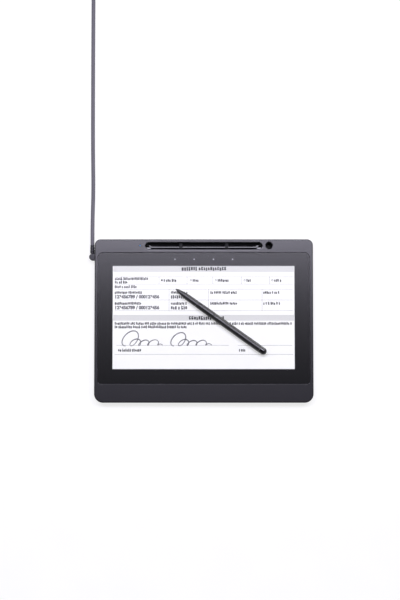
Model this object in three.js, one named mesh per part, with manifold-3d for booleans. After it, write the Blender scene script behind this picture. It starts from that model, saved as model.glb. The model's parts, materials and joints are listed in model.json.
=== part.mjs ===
// A pen display for signing forms on a shop or office counter, with its pen lying on the screen
// and its cable put away in a coil behind it.
// Millimetres, +Z up. The origin is on the desk under the middle of the body, +X is to the right
// for the person who signs, and +Y points away from them, to the side with the pen tray.

import * as THREE from 'three';
import { mergeVertices } from 'three/addons/utils/BufferGeometryUtils.js';
import Module from 'manifold-3d';

const wasm = await Module();
wasm.setup();

// Clearances and rules that all pieces share
const fitGap = 0.3;
const seatGap = 0.1;
const runGap = 0.15;
const overrun = 1;
const cornerSteps = 5;
const smallCornerSteps = 3;
const mouthSteps = 24;
const penSteps = 20;
const roundSteps = 16;
const smallRoundSteps = 10;

// The body
const bodyWidth = 281;
const bodyDepth = 210;
const bodyTop = 16;
const nearCornerRadius = 11.5;
const farCornerRadius = 7.5;
const topEdgeRound = 1.4;
const wall = 1.8;
const partingHeight = 4.8;
const partingReveal = 0.35;
const footProud = 1.2;
const coverFloor = 1.8;
const undersideInset = 3.6;
const lipThickness = 1;
const lipHeight = 1.4;

// The cover glass and what lies under it
const sideFrame = 4.3;
const nearStrip = 24.05;
const farStrip = 17.45;
const glassFarCorner = 6.5;
const glassNearCorner = 4;
const glassThickness = 1.4;
const glassSink = 0.1;
const glassGap = 0.35;
const glassEdgeChamfer = 0.25;
const adhesiveThickness = 0.3;
const adhesiveBand = 3.4;
const ledgeThickness = 1.2;
const moduleSideMargin = 14.2;
const moduleEndMargin = 13.25;
const moduleRim = 2;
const moduleThickness = 3.5;
const cellThickness = 1.3;
const windowGap = 0.6;
const sensorThickness = 0.8;
const shieldThickness = 0.4;
const shieldMargin = 3;
const chassisThickness = 1;
const chassisFlange = 1.6;
const chassisBar = 14;
const chassisWindowCorner = 5;
const chassisColumns = 4;
const chassisRows = 2;

// Touch keys under the glass, above the picture
const keyPitch = 24.75;
const keyMargin = 4.9;
const keyStripDepth = 5;
const keyStripThickness = 0.2;
const keyStripEnd = 8;

// The pen tray along the far edge
const trayInset = 8.2;
const trayLength = 150.8;
const trayWidth = 9.4;
const trayWall = 0.6;
const trayFlange = 1;
const trayFlangeThickness = 1.2;
const trayDepth = 5.4;
const trayBottom = 0.9;
const trayBottomRise = 1.8;
const trayBottomFlat = 1.2;
const trayScoopLength = 7.6;
const trayMouthChamfer = 0.6;
const traySink = 0.2;
const restPlaceX = 29.6;
const restLength = 4;
const restHeight = 2.6;
const restDish = 1.1;

// The pen socket beside the tray
const socketOffset = 8.7;
const socketMouthRadius = 4.5;
const socketFlange = 0.9;
const socketBoreTop = 3.8;
const socketBoreBottom = 2.9;
const socketBoreDepth = 11.3;
const socketBottom = 0.8;

// The status light
const lightOffset = 6.7;
const lightRadius = 0.75;
const lightFlangeRadius = 1.8;
const lightFlangeHeight = 2.4;
const lightBoardLength = 10.6;
const lightBoardDepth = 6.4;
const lightBoardThickness = 1;
const lightPostRadius = 1.1;

// Bosses, screws and the ribs of the front housing
const bossRadius = 3;
const bossSideInset = 10.5;
const bossFarInset = 9.2;
const bossNearInset = 11;
const screwHeadRadius = 2.3;
const screwHeadHeight = 1.1;
const screwHeadSink = 0.4;
const screwShankRadius = 1.1;
const screwLength = 7;
const screwSlotWidth = 0.7;
const screwSlotDepth = 0.5;
const screwSlotShare = 0.7;
const screwPadRadius = 3.6;
const screwPadHeight = 1.1;
const ribThickness = 1;
const ribDrop = 3.4;
const ribPitch = 22;
const ribCount = 11;

// Rubber feet
const footLength = 34;
const footWidth = 8;
const footSink = 0.8;
const footSideInset = 34.5;
const footFarInset = 10.8;
const footNearInset = 14;
const footEdge = 0.4;

// Fold-out legs of the underside
const legSideInset = 52.5;
const legPivotInset = 26;
const legPivotLift = 2.3;
const legWidth = 24;
const legLength = 45;
const legThickness = 3.4;
const legEyeRadius = 1.9;
const legPinRadius = 1;
const legPocketGap = 0.6;
const legPocketRoom = 0.7;
const legPocketWall = 1.3;
const legWindowLength = 16;
const legWindowWidth = 12;
const legWindowCorner = 3;
const legShoeLength = 7;
const legShoeWall = 0.9;
const legTongueLength = 4.4;
const fingerNotchWidth = 16;
const fingerNotchDepth = 9;
const legPinReach = 1.6;

// Threaded inserts of the stand and arm mount
const insertPitch = 75;
const insertRadius = 2.9;
const insertBoreRadius = 1.65;
const insertLength = 4.6;
const insertBossWall = 1.5;
const insertSink = 0.15;

// The main circuit board, which stands on posts of the rear cover
const boardWidth = 128;
const boardNearInset = 12;
const boardInsertGap = 2;
const boardThickness = 1.2;
const boardPostHeight = 2;
const boardPostRadius = 2;
const boardPostInset = 5;
const chipSize = 14;
const chipHeight = 1.1;
const headerLength = 30;
const headerDepth = 5;
const headerHeight = 1.4;
const ribbonThickness = 0.25;
const displayRibbonWidth = 26;
const displayRibbonX = -18;
const sensorRibbonWidth = 18;
const sensorRibbonX = 34;

// The cable's socket in the left side
const plugInset = 22.6;
const plugHeight = 9;
const noseWidth = 8.4;
const noseHeight = 4;
const noseLength = 7.6;
const noseWall = 0.5;
const wallHoleGap = 0.4;
const socketBlockWidth = 13;
const socketBlockHeight = 6.6;
const socketBlockLength = 12;
const socketBoardWidth = 19;
const socketBoardLength = 22;
const socketBoardThickness = 1;
const socketBoardPostRadius = 1.8;

// The security slot in the far side
const slotInset = 30.5;
const slotWidth = 7;
const slotHeight = 3;
const slotZ = 10.5;
const slotPlateWidth = 17;
const slotPlateHeight = 7;
const slotPlateThickness = 1;

// The cable's angled plug and its strain relief
const plugReach = 7.6;
const plugWidth = 9;
const plugTall = 8.4;
const plugEdge = 1;
const reliefBaseRadius = 3.05;
const reliefEndRadius = 2.75;
const reliefLength = 10.6;
const reliefRings = 3;
const reliefGroove = 0.35;

// The cable, its coil and its far plug
const cordDiameter = 5;
const cordRestGap = 0.1;
const cordSides = 8;
const cordStep = 12;
const cordX = -144;
const coilPitch = 5.55;
const coilLayerHeight = 5.6;
const coilInnerRadius = 20;
const coilTurns = 7.25;
const coilTurnSteps = 24;
const coilSides = 6;
const coilReversalShare = 0.1;
const coilClimbShare = 0.25;
const tieThickness = 0.8;
const tieWidth = 9;
const tieGap = 0.5;
const usbBodyLength = 21;
const usbBodyWidth = 15.6;
const usbBodyHeight = 8;
const usbBodyEdge = 1.2;
const usbShellLength = 17.8;
const usbShellWidth = 12;
const usbShellHeight = 4.5;
const usbShellWall = 0.4;
const usbTongueHeight = 1.9;
const usbShellRecess = 8;
const usbWindowShares = [0.5, 0.8];
const usbReliefLength = 11;
const usbReliefEndRadius = 2.75;
const usbReliefBaseRadius = 3.4;

// The pen, measured along its axis from the tip of its nib
const penTipX = -36.1;
const penTipY = 40.7;
const penTurn = THREE.MathUtils.degToRad(-35.5);
const penRoll = THREE.MathUtils.degToRad(-14);
const penLength = 142;
const penRadius = 4.6;
const penWall = 1;
const nibRadius = 0.75;
const nibLength = 11;
const nibProud = 1.7;
const coneMouthRadius = 1.25;
const coneLength = 31;
const coneEndRadius = 4.15;
const barrelFrontRadius = 4.2;
const barrelWaistPlace = 58;
const barrelWaistRadius = 4.42;
const capLength = 10;
const spigotLength = 4;
const spigotWall = 0.9;
const switchStart = 36;
const switchLength = 24;
const switchWidth = 4.6;
const switchProud = 0.45;
const switchDepth = 2.4;
const switchFloor = 0.7;
const switchSwellShare = 0.5;
const switchWaistShare = 0.3;
const coilCoreRadius = 1.9;
const coilCoreLength = 13;
const coilCoreGap = 0.7;
const coneTaperShares = [0.5, 0.8];
const penBoardWidth = 3.6;
const penBoardThickness = 0.8;
const penBoardRearGap = 29;
const penRest = 0.3;

// Places and sizes that follow from the body
const glassWidth = bodyWidth - 2 * sideFrame;
const glassDepth = bodyDepth - nearStrip - farStrip;
const glassCentreY = (nearStrip - farStrip) / 2;
const moduleWidth = glassWidth - 2 * moduleSideMargin;
const moduleDepth = glassDepth - 2 * moduleEndMargin;
const cellWidth = moduleWidth - 2 * moduleRim;
const cellDepth = moduleDepth - 2 * moduleRim;
const keyCentreY = glassCentreY + moduleDepth / 2 + keyMargin;
const trayCentreY = bodyDepth / 2 - trayInset;
const socketX = trayLength / 2 + socketOffset;
const lightX = -trayLength / 2 - lightOffset;
const footX = bodyWidth / 2 - footSideInset;
const footFarY = bodyDepth / 2 - footFarInset;
const footNearY = -bodyDepth / 2 + footNearInset;
const legX = bodyWidth / 2 - legSideInset;
const legPivotY = bodyDepth / 2 - legPivotInset;
const plugY = bodyDepth / 2 - plugInset;
const slotX = bodyWidth / 2 - slotInset;
const insertBossRadius = insertRadius + insertBossWall;
const capStart = penLength - capLength;
const boardNearY = -bodyDepth / 2 + boardNearInset;
const boardFarY = -insertPitch / 2 - insertBossRadius - boardInsertGap;
const boardDepth = boardFarY - boardNearY;
const boardCentreY = (boardFarY + boardNearY) / 2;

// Heights that follow from the stack
const plateUnderside = bodyTop - wall;
const glassTop = bodyTop - glassSink;
const glassBottom = glassTop - glassThickness;
const ledgeTop = glassBottom - seatGap - adhesiveThickness - seatGap;
const ledgeBottom = ledgeTop - ledgeThickness;
const moduleTop = glassBottom - fitGap;
const moduleBottom = moduleTop - moduleThickness;
const sensorTop = moduleBottom - seatGap;
const sensorBottom = sensorTop - sensorThickness;
const shieldTop = sensorBottom - seatGap;
const shieldBottom = shieldTop - shieldThickness;
const chassisTop = shieldBottom - seatGap;
const chassisBottom = chassisTop - chassisThickness;
const floorTop = footProud + coverFloor;
const coverInnerInset = wall + fitGap + lipThickness;
const coverLipTop = partingHeight + lipHeight;
const legPivotZ = footProud + legPivotLift;
const pocketHalfWidth = legWidth / 2 + legPocketGap;
const pocketCeiling = legPivotZ + legEyeRadius + legPocketRoom;
const boardBottom = floorTop + boardPostHeight + seatGap;
const boardTop = boardBottom + boardThickness;
const socketBoardBottom = plugHeight - socketBlockHeight / 2 - seatGap - socketBoardThickness;
const innerWallX = bodyWidth / 2 - wall;
const innerWallY = bodyDepth / 2 - wall;

// Materials: colour, roughness and metalness of each finish
function finish(color, roughness, metalness = 0) {
  return { color, roughness, metalness };
}
const finishes = {
  housing: finish(0x57545f, 0.5),
  underside: finish(0x3f3e45, 0.6),
  glass: finish(0x1f1f24, 0.15),
  adhesive: finish(0x151516, 0.8),
  panel: finish(0xf4f4f6, 0.3),
  tray: finish(0x0b0b0d, 0.12),
  rubber: finish(0x1b1b1d, 0.85),
  steel: finish(0xa7a9ad, 0.35, 1),
  tin: finish(0xc3c6ca, 0.4, 1),
  brass: finish(0xb59a55, 0.35, 1),
  board: finish(0x1f5b3a, 0.6),
  ribbon: finish(0xa8702c, 0.5),
  light: finish(0x3f83c8, 0.3),
  penBody: finish(0x29292e, 0.3),
  penGloss: finish(0x101013, 0.12),
  ferrite: finish(0x2c2b2a, 0.7),
  cord: finish(0x5d5c62, 0.55),
  plug: finish(0x34343a, 0.5),
};

// Closed mesh from rings of points that follow one another. Each ring runs anticlockwise
// as seen from the last ring, and the ends are closed with fans, so every ring is convex.
function loft(rings) {
  const count = rings[0].length;
  const points = rings.flat();
  const faces = [];
  for (let r = 0; r + 1 < rings.length; r++) {
    for (let i = 0; i < count; i++) {
      const a = r * count + i;
      const b = r * count + (i + 1) % count;
      faces.push(a, b, b + count, a, b + count, a + count);
    }
  }
  const last = (rings.length - 1) * count;
  for (let i = 1; i + 1 < count; i++) {
    faces.push(0, i + 1, i);
    faces.push(last, last + i, last + i + 1);
  }
  const geometry = new THREE.BufferGeometry().setFromPoints(points);
  geometry.setIndex(faces);
  return geometry;
}

// Outline of a rectangle with round corners, whose near and far corners may differ
function roundedShape(width, depth, nearRadius, farRadius = nearRadius) {
  const x = width / 2;
  const y = depth / 2;
  const shape = new THREE.Shape();
  shape.absarc(x - nearRadius, -y + nearRadius, nearRadius, -Math.PI / 2, 0);
  shape.absarc(x - farRadius, y - farRadius, farRadius, 0, Math.PI / 2);
  shape.absarc(-x + farRadius, y - farRadius, farRadius, Math.PI / 2, Math.PI);
  shape.absarc(-x + nearRadius, -y + nearRadius, nearRadius, Math.PI, Math.PI * 1.5);
  return shape;
}

// The same outline as a ring of points at one height
function roundedRing(width, depth, nearRadius, farRadius, z, steps = cornerSteps) {
  const flat = roundedShape(width, depth, nearRadius, farRadius).getPoints(steps);
  const loop = flat.filter((p, i) => i === 0 || p.distanceTo(flat[i - 1]) > nearRadius * 1e-6);
  if (loop[0].distanceTo(loop[loop.length - 1]) < nearRadius * 1e-6) loop.pop();
  return loop.map((p) => new THREE.Vector3(p.x, p.y, z));
}

// The body's outline drawn in by an inset
function bodyRing(inset, z) {
  const near = nearCornerRadius - inset;
  const far = farCornerRadius - inset;
  return roundedRing(bodyWidth - 2 * inset, bodyDepth - 2 * inset, near, far, z);
}

function box(x0, x1, y0, y1, z0, z1) {
  const geometry = new THREE.BoxGeometry(x1 - x0, y1 - y0, z1 - z0);
  geometry.translate((x0 + x1) / 2, (y0 + y1) / 2, (z0 + z1) / 2);
  return geometry;
}

function block(cx, cy, width, depth, z0, z1) {
  return box(cx - width / 2, cx + width / 2, cy - depth / 2, cy + depth / 2, z0, z1);
}

function roundedBlock(cx, cy, width, depth, radius, z0, z1, steps = smallCornerSteps) {
  const low = roundedRing(width, depth, radius, radius, z0, steps);
  const high = roundedRing(width, depth, radius, radius, z1, steps);
  const geometry = loft([low, high]);
  geometry.translate(cx, cy, 0);
  return geometry;
}

// Cone or cylinder that stands on its lower end
function post(cx, cy, lowRadius, highRadius, z0, z1, sides = roundSteps) {
  const geometry = new THREE.CylinderGeometry(highRadius, lowRadius, z1 - z0, sides);
  geometry.rotateX(Math.PI / 2);
  geometry.translate(cx, cy, (z0 + z1) / 2);
  return geometry;
}

function rodAlongX(x0, x1, cy, cz, radius, sides = roundSteps) {
  const geometry = new THREE.CylinderGeometry(radius, radius, x1 - x0, sides);
  geometry.rotateZ(-Math.PI / 2);
  geometry.translate((x0 + x1) / 2, cy, cz);
  return geometry;
}

// Closed mesh to solid, and solid back to mesh
function solid(geometry) {
  const bare = new THREE.BufferGeometry();
  bare.setAttribute('position', geometry.getAttribute('position'));
  bare.setIndex(geometry.getIndex());
  const merged = mergeVertices(bare);
  return new wasm.Manifold(new wasm.Mesh({
    numProp: 3,
    vertProperties: new Float32Array(merged.getAttribute('position').array),
    triVerts: new Uint32Array(merged.getIndex().array),
  }));
}

function join(first, ...others) {
  return others.reduce((sum, other) => sum.add(solid(other)), solid(first));
}

function cut(body, ...tools) {
  return tools.reduce((rest, tool) => rest.subtract(solid(tool)), body);
}

function geometryOf(body) {
  const mesh = body.getMesh();
  const geometry = new THREE.BufferGeometry();
  geometry.setAttribute('position', new THREE.BufferAttribute(mesh.vertProperties, 3));
  geometry.setIndex(new THREE.BufferAttribute(mesh.triVerts, 1));
  return geometry;
}

const pad = new THREE.Group();

function piece(name, shape, look, parent = pad) {
  const geometry = shape.isBufferGeometry ? shape : geometryOf(shape);
  const mesh = new THREE.Mesh(geometry, new THREE.MeshStandardMaterial(look));
  mesh.name = name;
  parent.add(mesh);
  return mesh;
}

// Places that repeat
const screwPlaces = [
  [-bodyWidth / 2 + bossSideInset, -bodyDepth / 2 + bossNearInset],
  [bodyWidth / 2 - bossSideInset, -bodyDepth / 2 + bossNearInset],
  [-bodyWidth / 2 + bossSideInset, glassCentreY],
  [bodyWidth / 2 - bossSideInset, glassCentreY],
  [-bodyWidth / 2 + bossSideInset, bodyDepth / 2 - bossFarInset],
  [bodyWidth / 2 - bossSideInset, bodyDepth / 2 - bossFarInset],
];
const insertPlaces = [
  [-insertPitch / 2, -insertPitch / 2],
  [insertPitch / 2, -insertPitch / 2],
  [-insertPitch / 2, insertPitch / 2],
  [insertPitch / 2, insertPitch / 2],
];
const footPlaces = [
  ['near_left', -footX, footNearY],
  ['near_right', footX, footNearY],
  ['far_left', -footX, footFarY],
  ['far_right', footX, footFarY],
];
const legPlaces = [
  ['left', -legX],
  ['right', legX],
];
const boardPosts = [
  [-boardWidth / 2 + boardPostInset, boardCentreY - boardDepth / 2 + boardPostInset],
  [boardWidth / 2 - boardPostInset, boardCentreY - boardDepth / 2 + boardPostInset],
  [-boardWidth / 2 + boardPostInset, boardCentreY + boardDepth / 2 - boardPostInset],
  [boardWidth / 2 - boardPostInset, boardCentreY + boardDepth / 2 - boardPostInset],
];
const socketBoardX = -innerWallX + fitGap + lipThickness + fitGap + socketBoardLength / 2;
const socketBoardPosts = [
  [socketBoardX, plugY - socketBoardWidth / 2 + socketBoardPostRadius],
  [socketBoardX, plugY + socketBoardWidth / 2 - socketBoardPostRadius],
];

// Front housing: a moulded shell with a ledge for the glass, a window for the display module,
// the mouths of the pen tray and pen socket, hanging screw bosses and stiffening ribs
function roundedTopRings() {
  const rings = [bodyRing(partingReveal, partingHeight), bodyRing(0, partingHeight + partingReveal)];
  const arcSteps = 4;
  for (let i = 0; i <= arcSteps; i++) {
    const angle = (i / arcSteps) * (Math.PI / 2);
    const inset = topEdgeRound * (1 - Math.cos(angle));
    rings.push(bodyRing(inset, bodyTop - topEdgeRound * (1 - Math.sin(angle))));
  }
  return rings;
}

function glassRecess() {
  const width = glassWidth + 2 * glassGap;
  const depth = glassDepth + 2 * glassGap;
  const near = glassNearCorner + glassGap;
  const far = glassFarCorner + glassGap;
  const rings = [
    roundedRing(width, depth, near, far, ledgeTop),
    roundedRing(width, depth, near, far, bodyTop + overrun),
  ];
  return loft(rings).translate(0, glassCentreY, 0);
}

// Stadium with its long side along X, as a solid between two heights
function stadium(cx, cy, length, width, z0, z1, spread = 0) {
  const steps = smallCornerSteps;
  const low = roundedRing(length, width, width / 2, width / 2, z0, steps);
  const wide = width + 2 * spread;
  const high = roundedRing(length + 2 * spread, wide, wide / 2, wide / 2, z1, steps);
  return loft([low, high]).translate(cx, cy, 0);
}

function nearStripRibs() {
  const ribs = [];
  const y0 = -innerWallY - wall / 2;
  const y1 = glassCentreY - glassDepth / 2 - glassGap;
  for (let i = 0; i < ribCount; i++) {
    const x = (i - (ribCount - 1) / 2) * ribPitch;
    ribs.push(box(x - ribThickness / 2, x + ribThickness / 2, y0, y1,
      plateUnderside - ribDrop, bodyTop - wall / 2));
  }
  return ribs;
}

function makeFrontHousing() {
  let shell = solid(loft(roundedTopRings()));
  const cavity = solid(loft([bodyRing(wall, partingHeight - overrun), bodyRing(wall, plateUnderside)]));
  const recessWallWidth = glassWidth + 2 * (glassGap + wall);
  const recessWallDepth = glassDepth + 2 * (glassGap + wall);
  const recessBed = roundedBlock(0, glassCentreY, recessWallWidth, recessWallDepth, glassFarCorner,
    ledgeBottom, bodyTop);
  shell = shell.subtract(cavity.subtract(solid(recessBed)));
  const bossFoot = floorTop + screwPadHeight + seatGap;
  for (const [x, y] of screwPlaces) {
    shell = shell.add(solid(post(x, y, bossRadius, bossRadius, bossFoot, bodyTop - wall / 2)));
  }
  for (const rib of nearStripRibs()) shell = shell.add(solid(rib));
  for (const side of [-1, 1]) {
    const x = lightX + (side * (lightBoardLength - 2 * lightPostRadius)) / 2;
    const foot = plateUnderside - lightFlangeHeight - seatGap;
    shell = shell.add(solid(post(x, trayCentreY, lightPostRadius, lightPostRadius, foot,
      plateUnderside + wall / 2, smallRoundSteps)));
  }
  const windowWidth = moduleWidth + 2 * windowGap;
  const windowDepth = moduleDepth + 2 * windowGap;
  const trayMouthTop = bodyTop + overrun;
  const mouthSpread = trayMouthChamfer + overrun;
  const mouthRadius = socketMouthRadius;
  const tools = [
    glassRecess(),
    block(0, glassCentreY, windowWidth, windowDepth, ledgeBottom - overrun, bodyTop),
    stadium(0, trayCentreY, trayLength, trayWidth, plateUnderside - overrun, trayMouthTop),
    stadium(0, trayCentreY, trayLength, trayWidth, bodyTop - trayMouthChamfer, trayMouthTop, mouthSpread),
    post(socketX, trayCentreY, mouthRadius, mouthRadius, plateUnderside - overrun, trayMouthTop, mouthSteps),
    post(lightX, trayCentreY, lightRadius + seatGap, lightRadius + seatGap, plateUnderside - overrun,
      trayMouthTop, smallRoundSteps),
  ];
  for (const [x, y] of screwPlaces) {
    const top = footProud + screwHeadSink + screwHeadHeight + screwLength + fitGap;
    const radius = screwShankRadius + runGap;
    tools.push(post(x, y, radius, radius, floorTop - overrun, top, smallRoundSteps));
  }
  const holeWidth = noseWidth + 2 * wallHoleGap;
  const holeHeight = noseHeight + 2 * wallHoleGap;
  tools.push(box(-bodyWidth / 2 - overrun, -innerWallX + overrun,
    plugY - holeWidth / 2, plugY + holeWidth / 2,
    plugHeight - holeHeight / 2, plugHeight + holeHeight / 2));
  tools.push(box(slotX - slotWidth / 2, slotX + slotWidth / 2, innerWallY - overrun, bodyDepth / 2 + overrun,
    slotZ - slotHeight / 2, slotZ + slotHeight / 2));
  return cut(shell, ...tools);
}

// Rear cover: a shallow tray with a curved skirt, a lip that enters the front housing,
// pockets for the feet and legs, bosses for the inserts and posts for the boards
function makeRearCover() {
  const skirt = [];
  const arcSteps = 4;
  const skirtHeight = partingHeight - seatGap - footProud;
  for (let i = 0; i <= arcSteps; i++) {
    const angle = (i / arcSteps) * (Math.PI / 2);
    const inset = undersideInset - (undersideInset - partingReveal) * Math.sin(angle);
    skirt.push(bodyRing(inset, footProud + skirtHeight * (1 - Math.cos(angle))));
  }
  const lip = loft([bodyRing(wall + fitGap, partingHeight - wall), bodyRing(wall + fitGap, coverLipTop)]);
  const inside = loft([
    bodyRing(coverInnerInset, floorTop),
    bodyRing(coverInnerInset, coverLipTop + overrun),
  ]);
  let cover = cut(join(loft(skirt), lip), inside);

  const innerFoot = footProud + coverFloor / 2;
  for (const [x, y] of insertPlaces) {
    cover = cover.add(solid(post(x, y, insertBossRadius, insertBossRadius,
      innerFoot, chassisBottom - seatGap)));
  }
  for (const [x, y] of screwPlaces) {
    cover = cover.add(solid(post(x, y, screwPadRadius, screwPadRadius,
      innerFoot, floorTop + screwPadHeight)));
  }
  for (const [x, y] of boardPosts) {
    cover = cover.add(solid(post(x, y, boardPostRadius, boardPostRadius, innerFoot, boardBottom - seatGap,
      smallRoundSteps)));
  }
  for (const [x, y] of socketBoardPosts) {
    cover = cover.add(solid(post(x, y, socketBoardPostRadius, socketBoardPostRadius, innerFoot,
      socketBoardBottom - seatGap, smallRoundSteps)));
  }
  const pocketNearY = legPivotY - legLength - legPocketGap;
  const pocketFarY = legPivotY + legEyeRadius + legPocketGap;
  const wallX = pocketHalfWidth + legPocketWall;
  const notchNearY = pocketNearY - fingerNotchDepth;
  for (const [, x] of legPlaces) {
    cover = cover.add(solid(box(x - wallX, x + wallX, pocketNearY - legPocketWall, pocketFarY + legPocketWall,
      innerFoot, pocketCeiling + legPocketWall)));
    const notchWall = fingerNotchWidth / 2 + legPocketWall;
    cover = cover.add(solid(box(x - notchWall, x + notchWall, notchNearY - legPocketWall, pocketNearY,
      innerFoot, pocketCeiling + legPocketWall)));
  }

  const tools = [];
  for (const [, x] of legPlaces) {
    tools.push(box(x - pocketHalfWidth, x + pocketHalfWidth, pocketNearY, pocketFarY,
      footProud - overrun, pocketCeiling));
    tools.push(roundedBlock(x, notchNearY + fingerNotchDepth, fingerNotchWidth, 2 * fingerNotchDepth,
      fingerNotchWidth / 3, footProud - overrun, pocketCeiling));
    const pinHole = legPinRadius + seatGap;
    const pinEnd = pocketHalfWidth + legPinReach;
    tools.push(rodAlongX(x - pinEnd, x + pinEnd, legPivotY, legPivotZ, pinHole, smallRoundSteps));
  }
  for (const [, x, y] of footPlaces) {
    const clear = 2 * seatGap;
    tools.push(stadium(x, y, footLength + clear, footWidth + clear,
      footProud - overrun, footProud + footSink));
  }
  for (const [x, y] of insertPlaces) {
    const radius = insertRadius + seatGap;
    tools.push(post(x, y, radius, radius,
      footProud - overrun, footProud + insertSink + insertLength + seatGap));
  }
  for (const [x, y] of screwPlaces) {
    const head = screwHeadRadius + seatGap;
    const shank = screwShankRadius + runGap;
    const seat = footProud + screwHeadSink + screwHeadHeight + seatGap;
    tools.push(post(x, y, head, head, footProud - overrun, seat));
    tools.push(post(x, y, shank, shank, footProud - overrun, floorTop + screwPadHeight + overrun,
      smallRoundSteps));
  }
  const notchHalf = socketBlockWidth / 2 + fitGap;
  const notchLow = plugHeight - socketBlockHeight / 2 - fitGap;
  tools.push(box(-bodyWidth / 2 + wall, -innerWallX + socketBlockLength, plugY - notchHalf, plugY + notchHalf,
    notchLow, coverLipTop + overrun));
  return cut(cover, ...tools);
}

piece('front_housing', makeFrontHousing(), finishes.housing);
piece('rear_cover', makeRearCover(), finishes.underside);

// Cover glass with a fine chamfer round its upper edge, and the adhesive frame under its rim
function glassRing(inset, z) {
  return roundedRing(glassWidth - 2 * inset, glassDepth - 2 * inset,
    glassNearCorner - inset, glassFarCorner - inset, z);
}

function makeGlass() {
  const rings = [
    glassRing(0, glassBottom),
    glassRing(0, glassTop - glassEdgeChamfer),
    glassRing(glassEdgeChamfer, glassTop),
  ];
  return loft(rings).translate(0, glassCentreY, 0);
}

function makeAdhesive() {
  const z0 = ledgeTop + seatGap;
  const z1 = z0 + adhesiveThickness;
  const outer = loft([glassRing(0, z0), glassRing(0, z1)]);
  const inner = loft([glassRing(adhesiveBand, z0 - overrun), glassRing(adhesiveBand, z1 + overrun)]);
  return cut(solid(outer), inner).translate([0, glassCentreY, 0]);
}

piece('cover_glass', makeGlass(), finishes.glass);
piece('glass_adhesive', makeAdhesive(), finishes.adhesive);

// Flexible strip with the four touch keys, on the ledge under the glass
function makeKeyStrip() {
  const half = 1.5 * keyPitch + keyStripEnd;
  const z0 = ledgeTop + seatGap;
  return roundedBlock(0, keyCentreY, 2 * half, keyStripDepth, keyStripDepth / 4, z0, z0 + keyStripThickness);
}

piece('touch_key_strip', makeKeyStrip(), finishes.ribbon);

// Display module: the panel lies in the backlight's frame
const cellTop = moduleTop - seatGap;
const cellBottom = cellTop - cellThickness;
piece('display_panel', block(0, glassCentreY, cellWidth, cellDepth, cellBottom, cellTop), finishes.panel);

function makeBacklight() {
  const frame = solid(roundedBlock(0, glassCentreY, moduleWidth, moduleDepth, wall / 2,
    moduleBottom, moduleTop));
  const bed = block(0, glassCentreY, cellWidth + 2 * fitGap, cellDepth + 2 * fitGap,
    cellBottom - seatGap, moduleTop + overrun);
  return cut(frame, bed);
}

piece('backlight_unit', makeBacklight(), finishes.tin);
piece('sensor_board', block(0, glassCentreY, moduleWidth, moduleDepth, sensorBottom, sensorTop),
  finishes.board);
piece('shield_plate', roundedBlock(0, glassCentreY, moduleWidth - shieldMargin, moduleDepth - shieldMargin,
  shieldMargin, shieldBottom, shieldTop), finishes.steel);

// Chassis: a pressed tray with rounded windows and an upturned flange round the module
function makeChassis() {
  const width = moduleWidth + 2 * (fitGap + chassisFlange);
  const depth = moduleDepth + 2 * (fitGap + chassisFlange);
  const flangeTop = sensorTop;
  const body = solid(roundedBlock(0, glassCentreY, width, depth, 2 * chassisFlange,
    chassisBottom, flangeTop));
  const tools = [block(0, glassCentreY, moduleWidth + 2 * fitGap, moduleDepth + 2 * fitGap,
    chassisTop, flangeTop + overrun)];
  const notchWidth = sensorRibbonWidth + 2 * fitGap;
  tools.push(box(sensorRibbonX - notchWidth / 2, sensorRibbonX + notchWidth / 2,
    glassCentreY - depth / 2 - overrun, glassCentreY - moduleDepth / 2, chassisTop, flangeTop + overrun));
  const pitchX = (moduleWidth - chassisBar) / chassisColumns;
  const pitchY = (moduleDepth - chassisBar) / chassisRows;
  for (let column = 0; column < chassisColumns; column++) {
    for (let row = 0; row < chassisRows; row++) {
      const x = (column - (chassisColumns - 1) / 2) * pitchX;
      const y = glassCentreY + (row - (chassisRows - 1) / 2) * pitchY;
      tools.push(roundedBlock(x, y, pitchX - chassisBar, pitchY - chassisBar, chassisWindowCorner,
        chassisBottom - overrun, chassisTop + overrun));
    }
  }
  return cut(body, ...tools);
}

piece('chassis_frame', makeChassis(), finishes.steel);

// Main board with its chips and the two sockets for the ribbons
function makeMainBoard() {
  let body = solid(roundedBlock(0, boardCentreY, boardWidth, boardDepth, boardPostInset / 2,
    boardBottom, boardTop, 3));
  const into = boardThickness / 2;
  const chipX = boardWidth / 2 - chipSize;
  for (const x of [-chipX, (displayRibbonX + sensorRibbonX) / 2, chipX]) {
    body = body.add(solid(block(x, boardNearY + chipSize, chipSize, chipSize, boardTop - into,
      boardTop + chipHeight)));
  }
  for (const x of [displayRibbonX, sensorRibbonX]) {
    body = body.add(solid(block(x, ribbonEndY - headerDepth / 2, headerLength, headerDepth,
      boardTop - into, boardTop + headerHeight)));
  }
  return body;
}

// Flat ribbon that leaves the module's near edge, turns down and ends at its header
const ribbonStartY = glassCentreY - moduleDepth / 2 - fitGap;
const ribbonEndY = ribbonStartY - headerDepth * 2;
const displayRibbonZ = moduleBottom + moduleThickness / 4;
const sensorRibbonZ = sensorBottom + sensorThickness / 2;
function makeRibbon(x, width, startZ) {
  const endZ = boardTop + headerHeight / 2;
  const endY = ribbonEndY + fitGap;
  const curve = new THREE.CatmullRomCurve3([
    new THREE.Vector3(x, ribbonStartY, startZ),
    new THREE.Vector3(x, ribbonStartY - chassisFlange - ribbonThickness, startZ),
    new THREE.Vector3(x, (ribbonStartY + endY) / 2, (startZ * 2 + endZ) / 3),
    new THREE.Vector3(x, endY + chassisFlange, endZ + ribbonThickness),
    new THREE.Vector3(x, endY, endZ),
  ]);
  const steps = 10;
  const rings = curve.getPoints(steps).map((p, i) => {
    const along = curve.getTangent(i / steps);
    const up = new THREE.Vector3(0, -along.z, along.y).multiplyScalar(ribbonThickness / 2);
    const side = new THREE.Vector3(width / 2, 0, 0);
    return [
      p.clone().sub(side).sub(up),
      p.clone().sub(side).add(up),
      p.clone().add(side).add(up),
      p.clone().add(side).sub(up),
    ];
  });
  return loft(rings);
}

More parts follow.
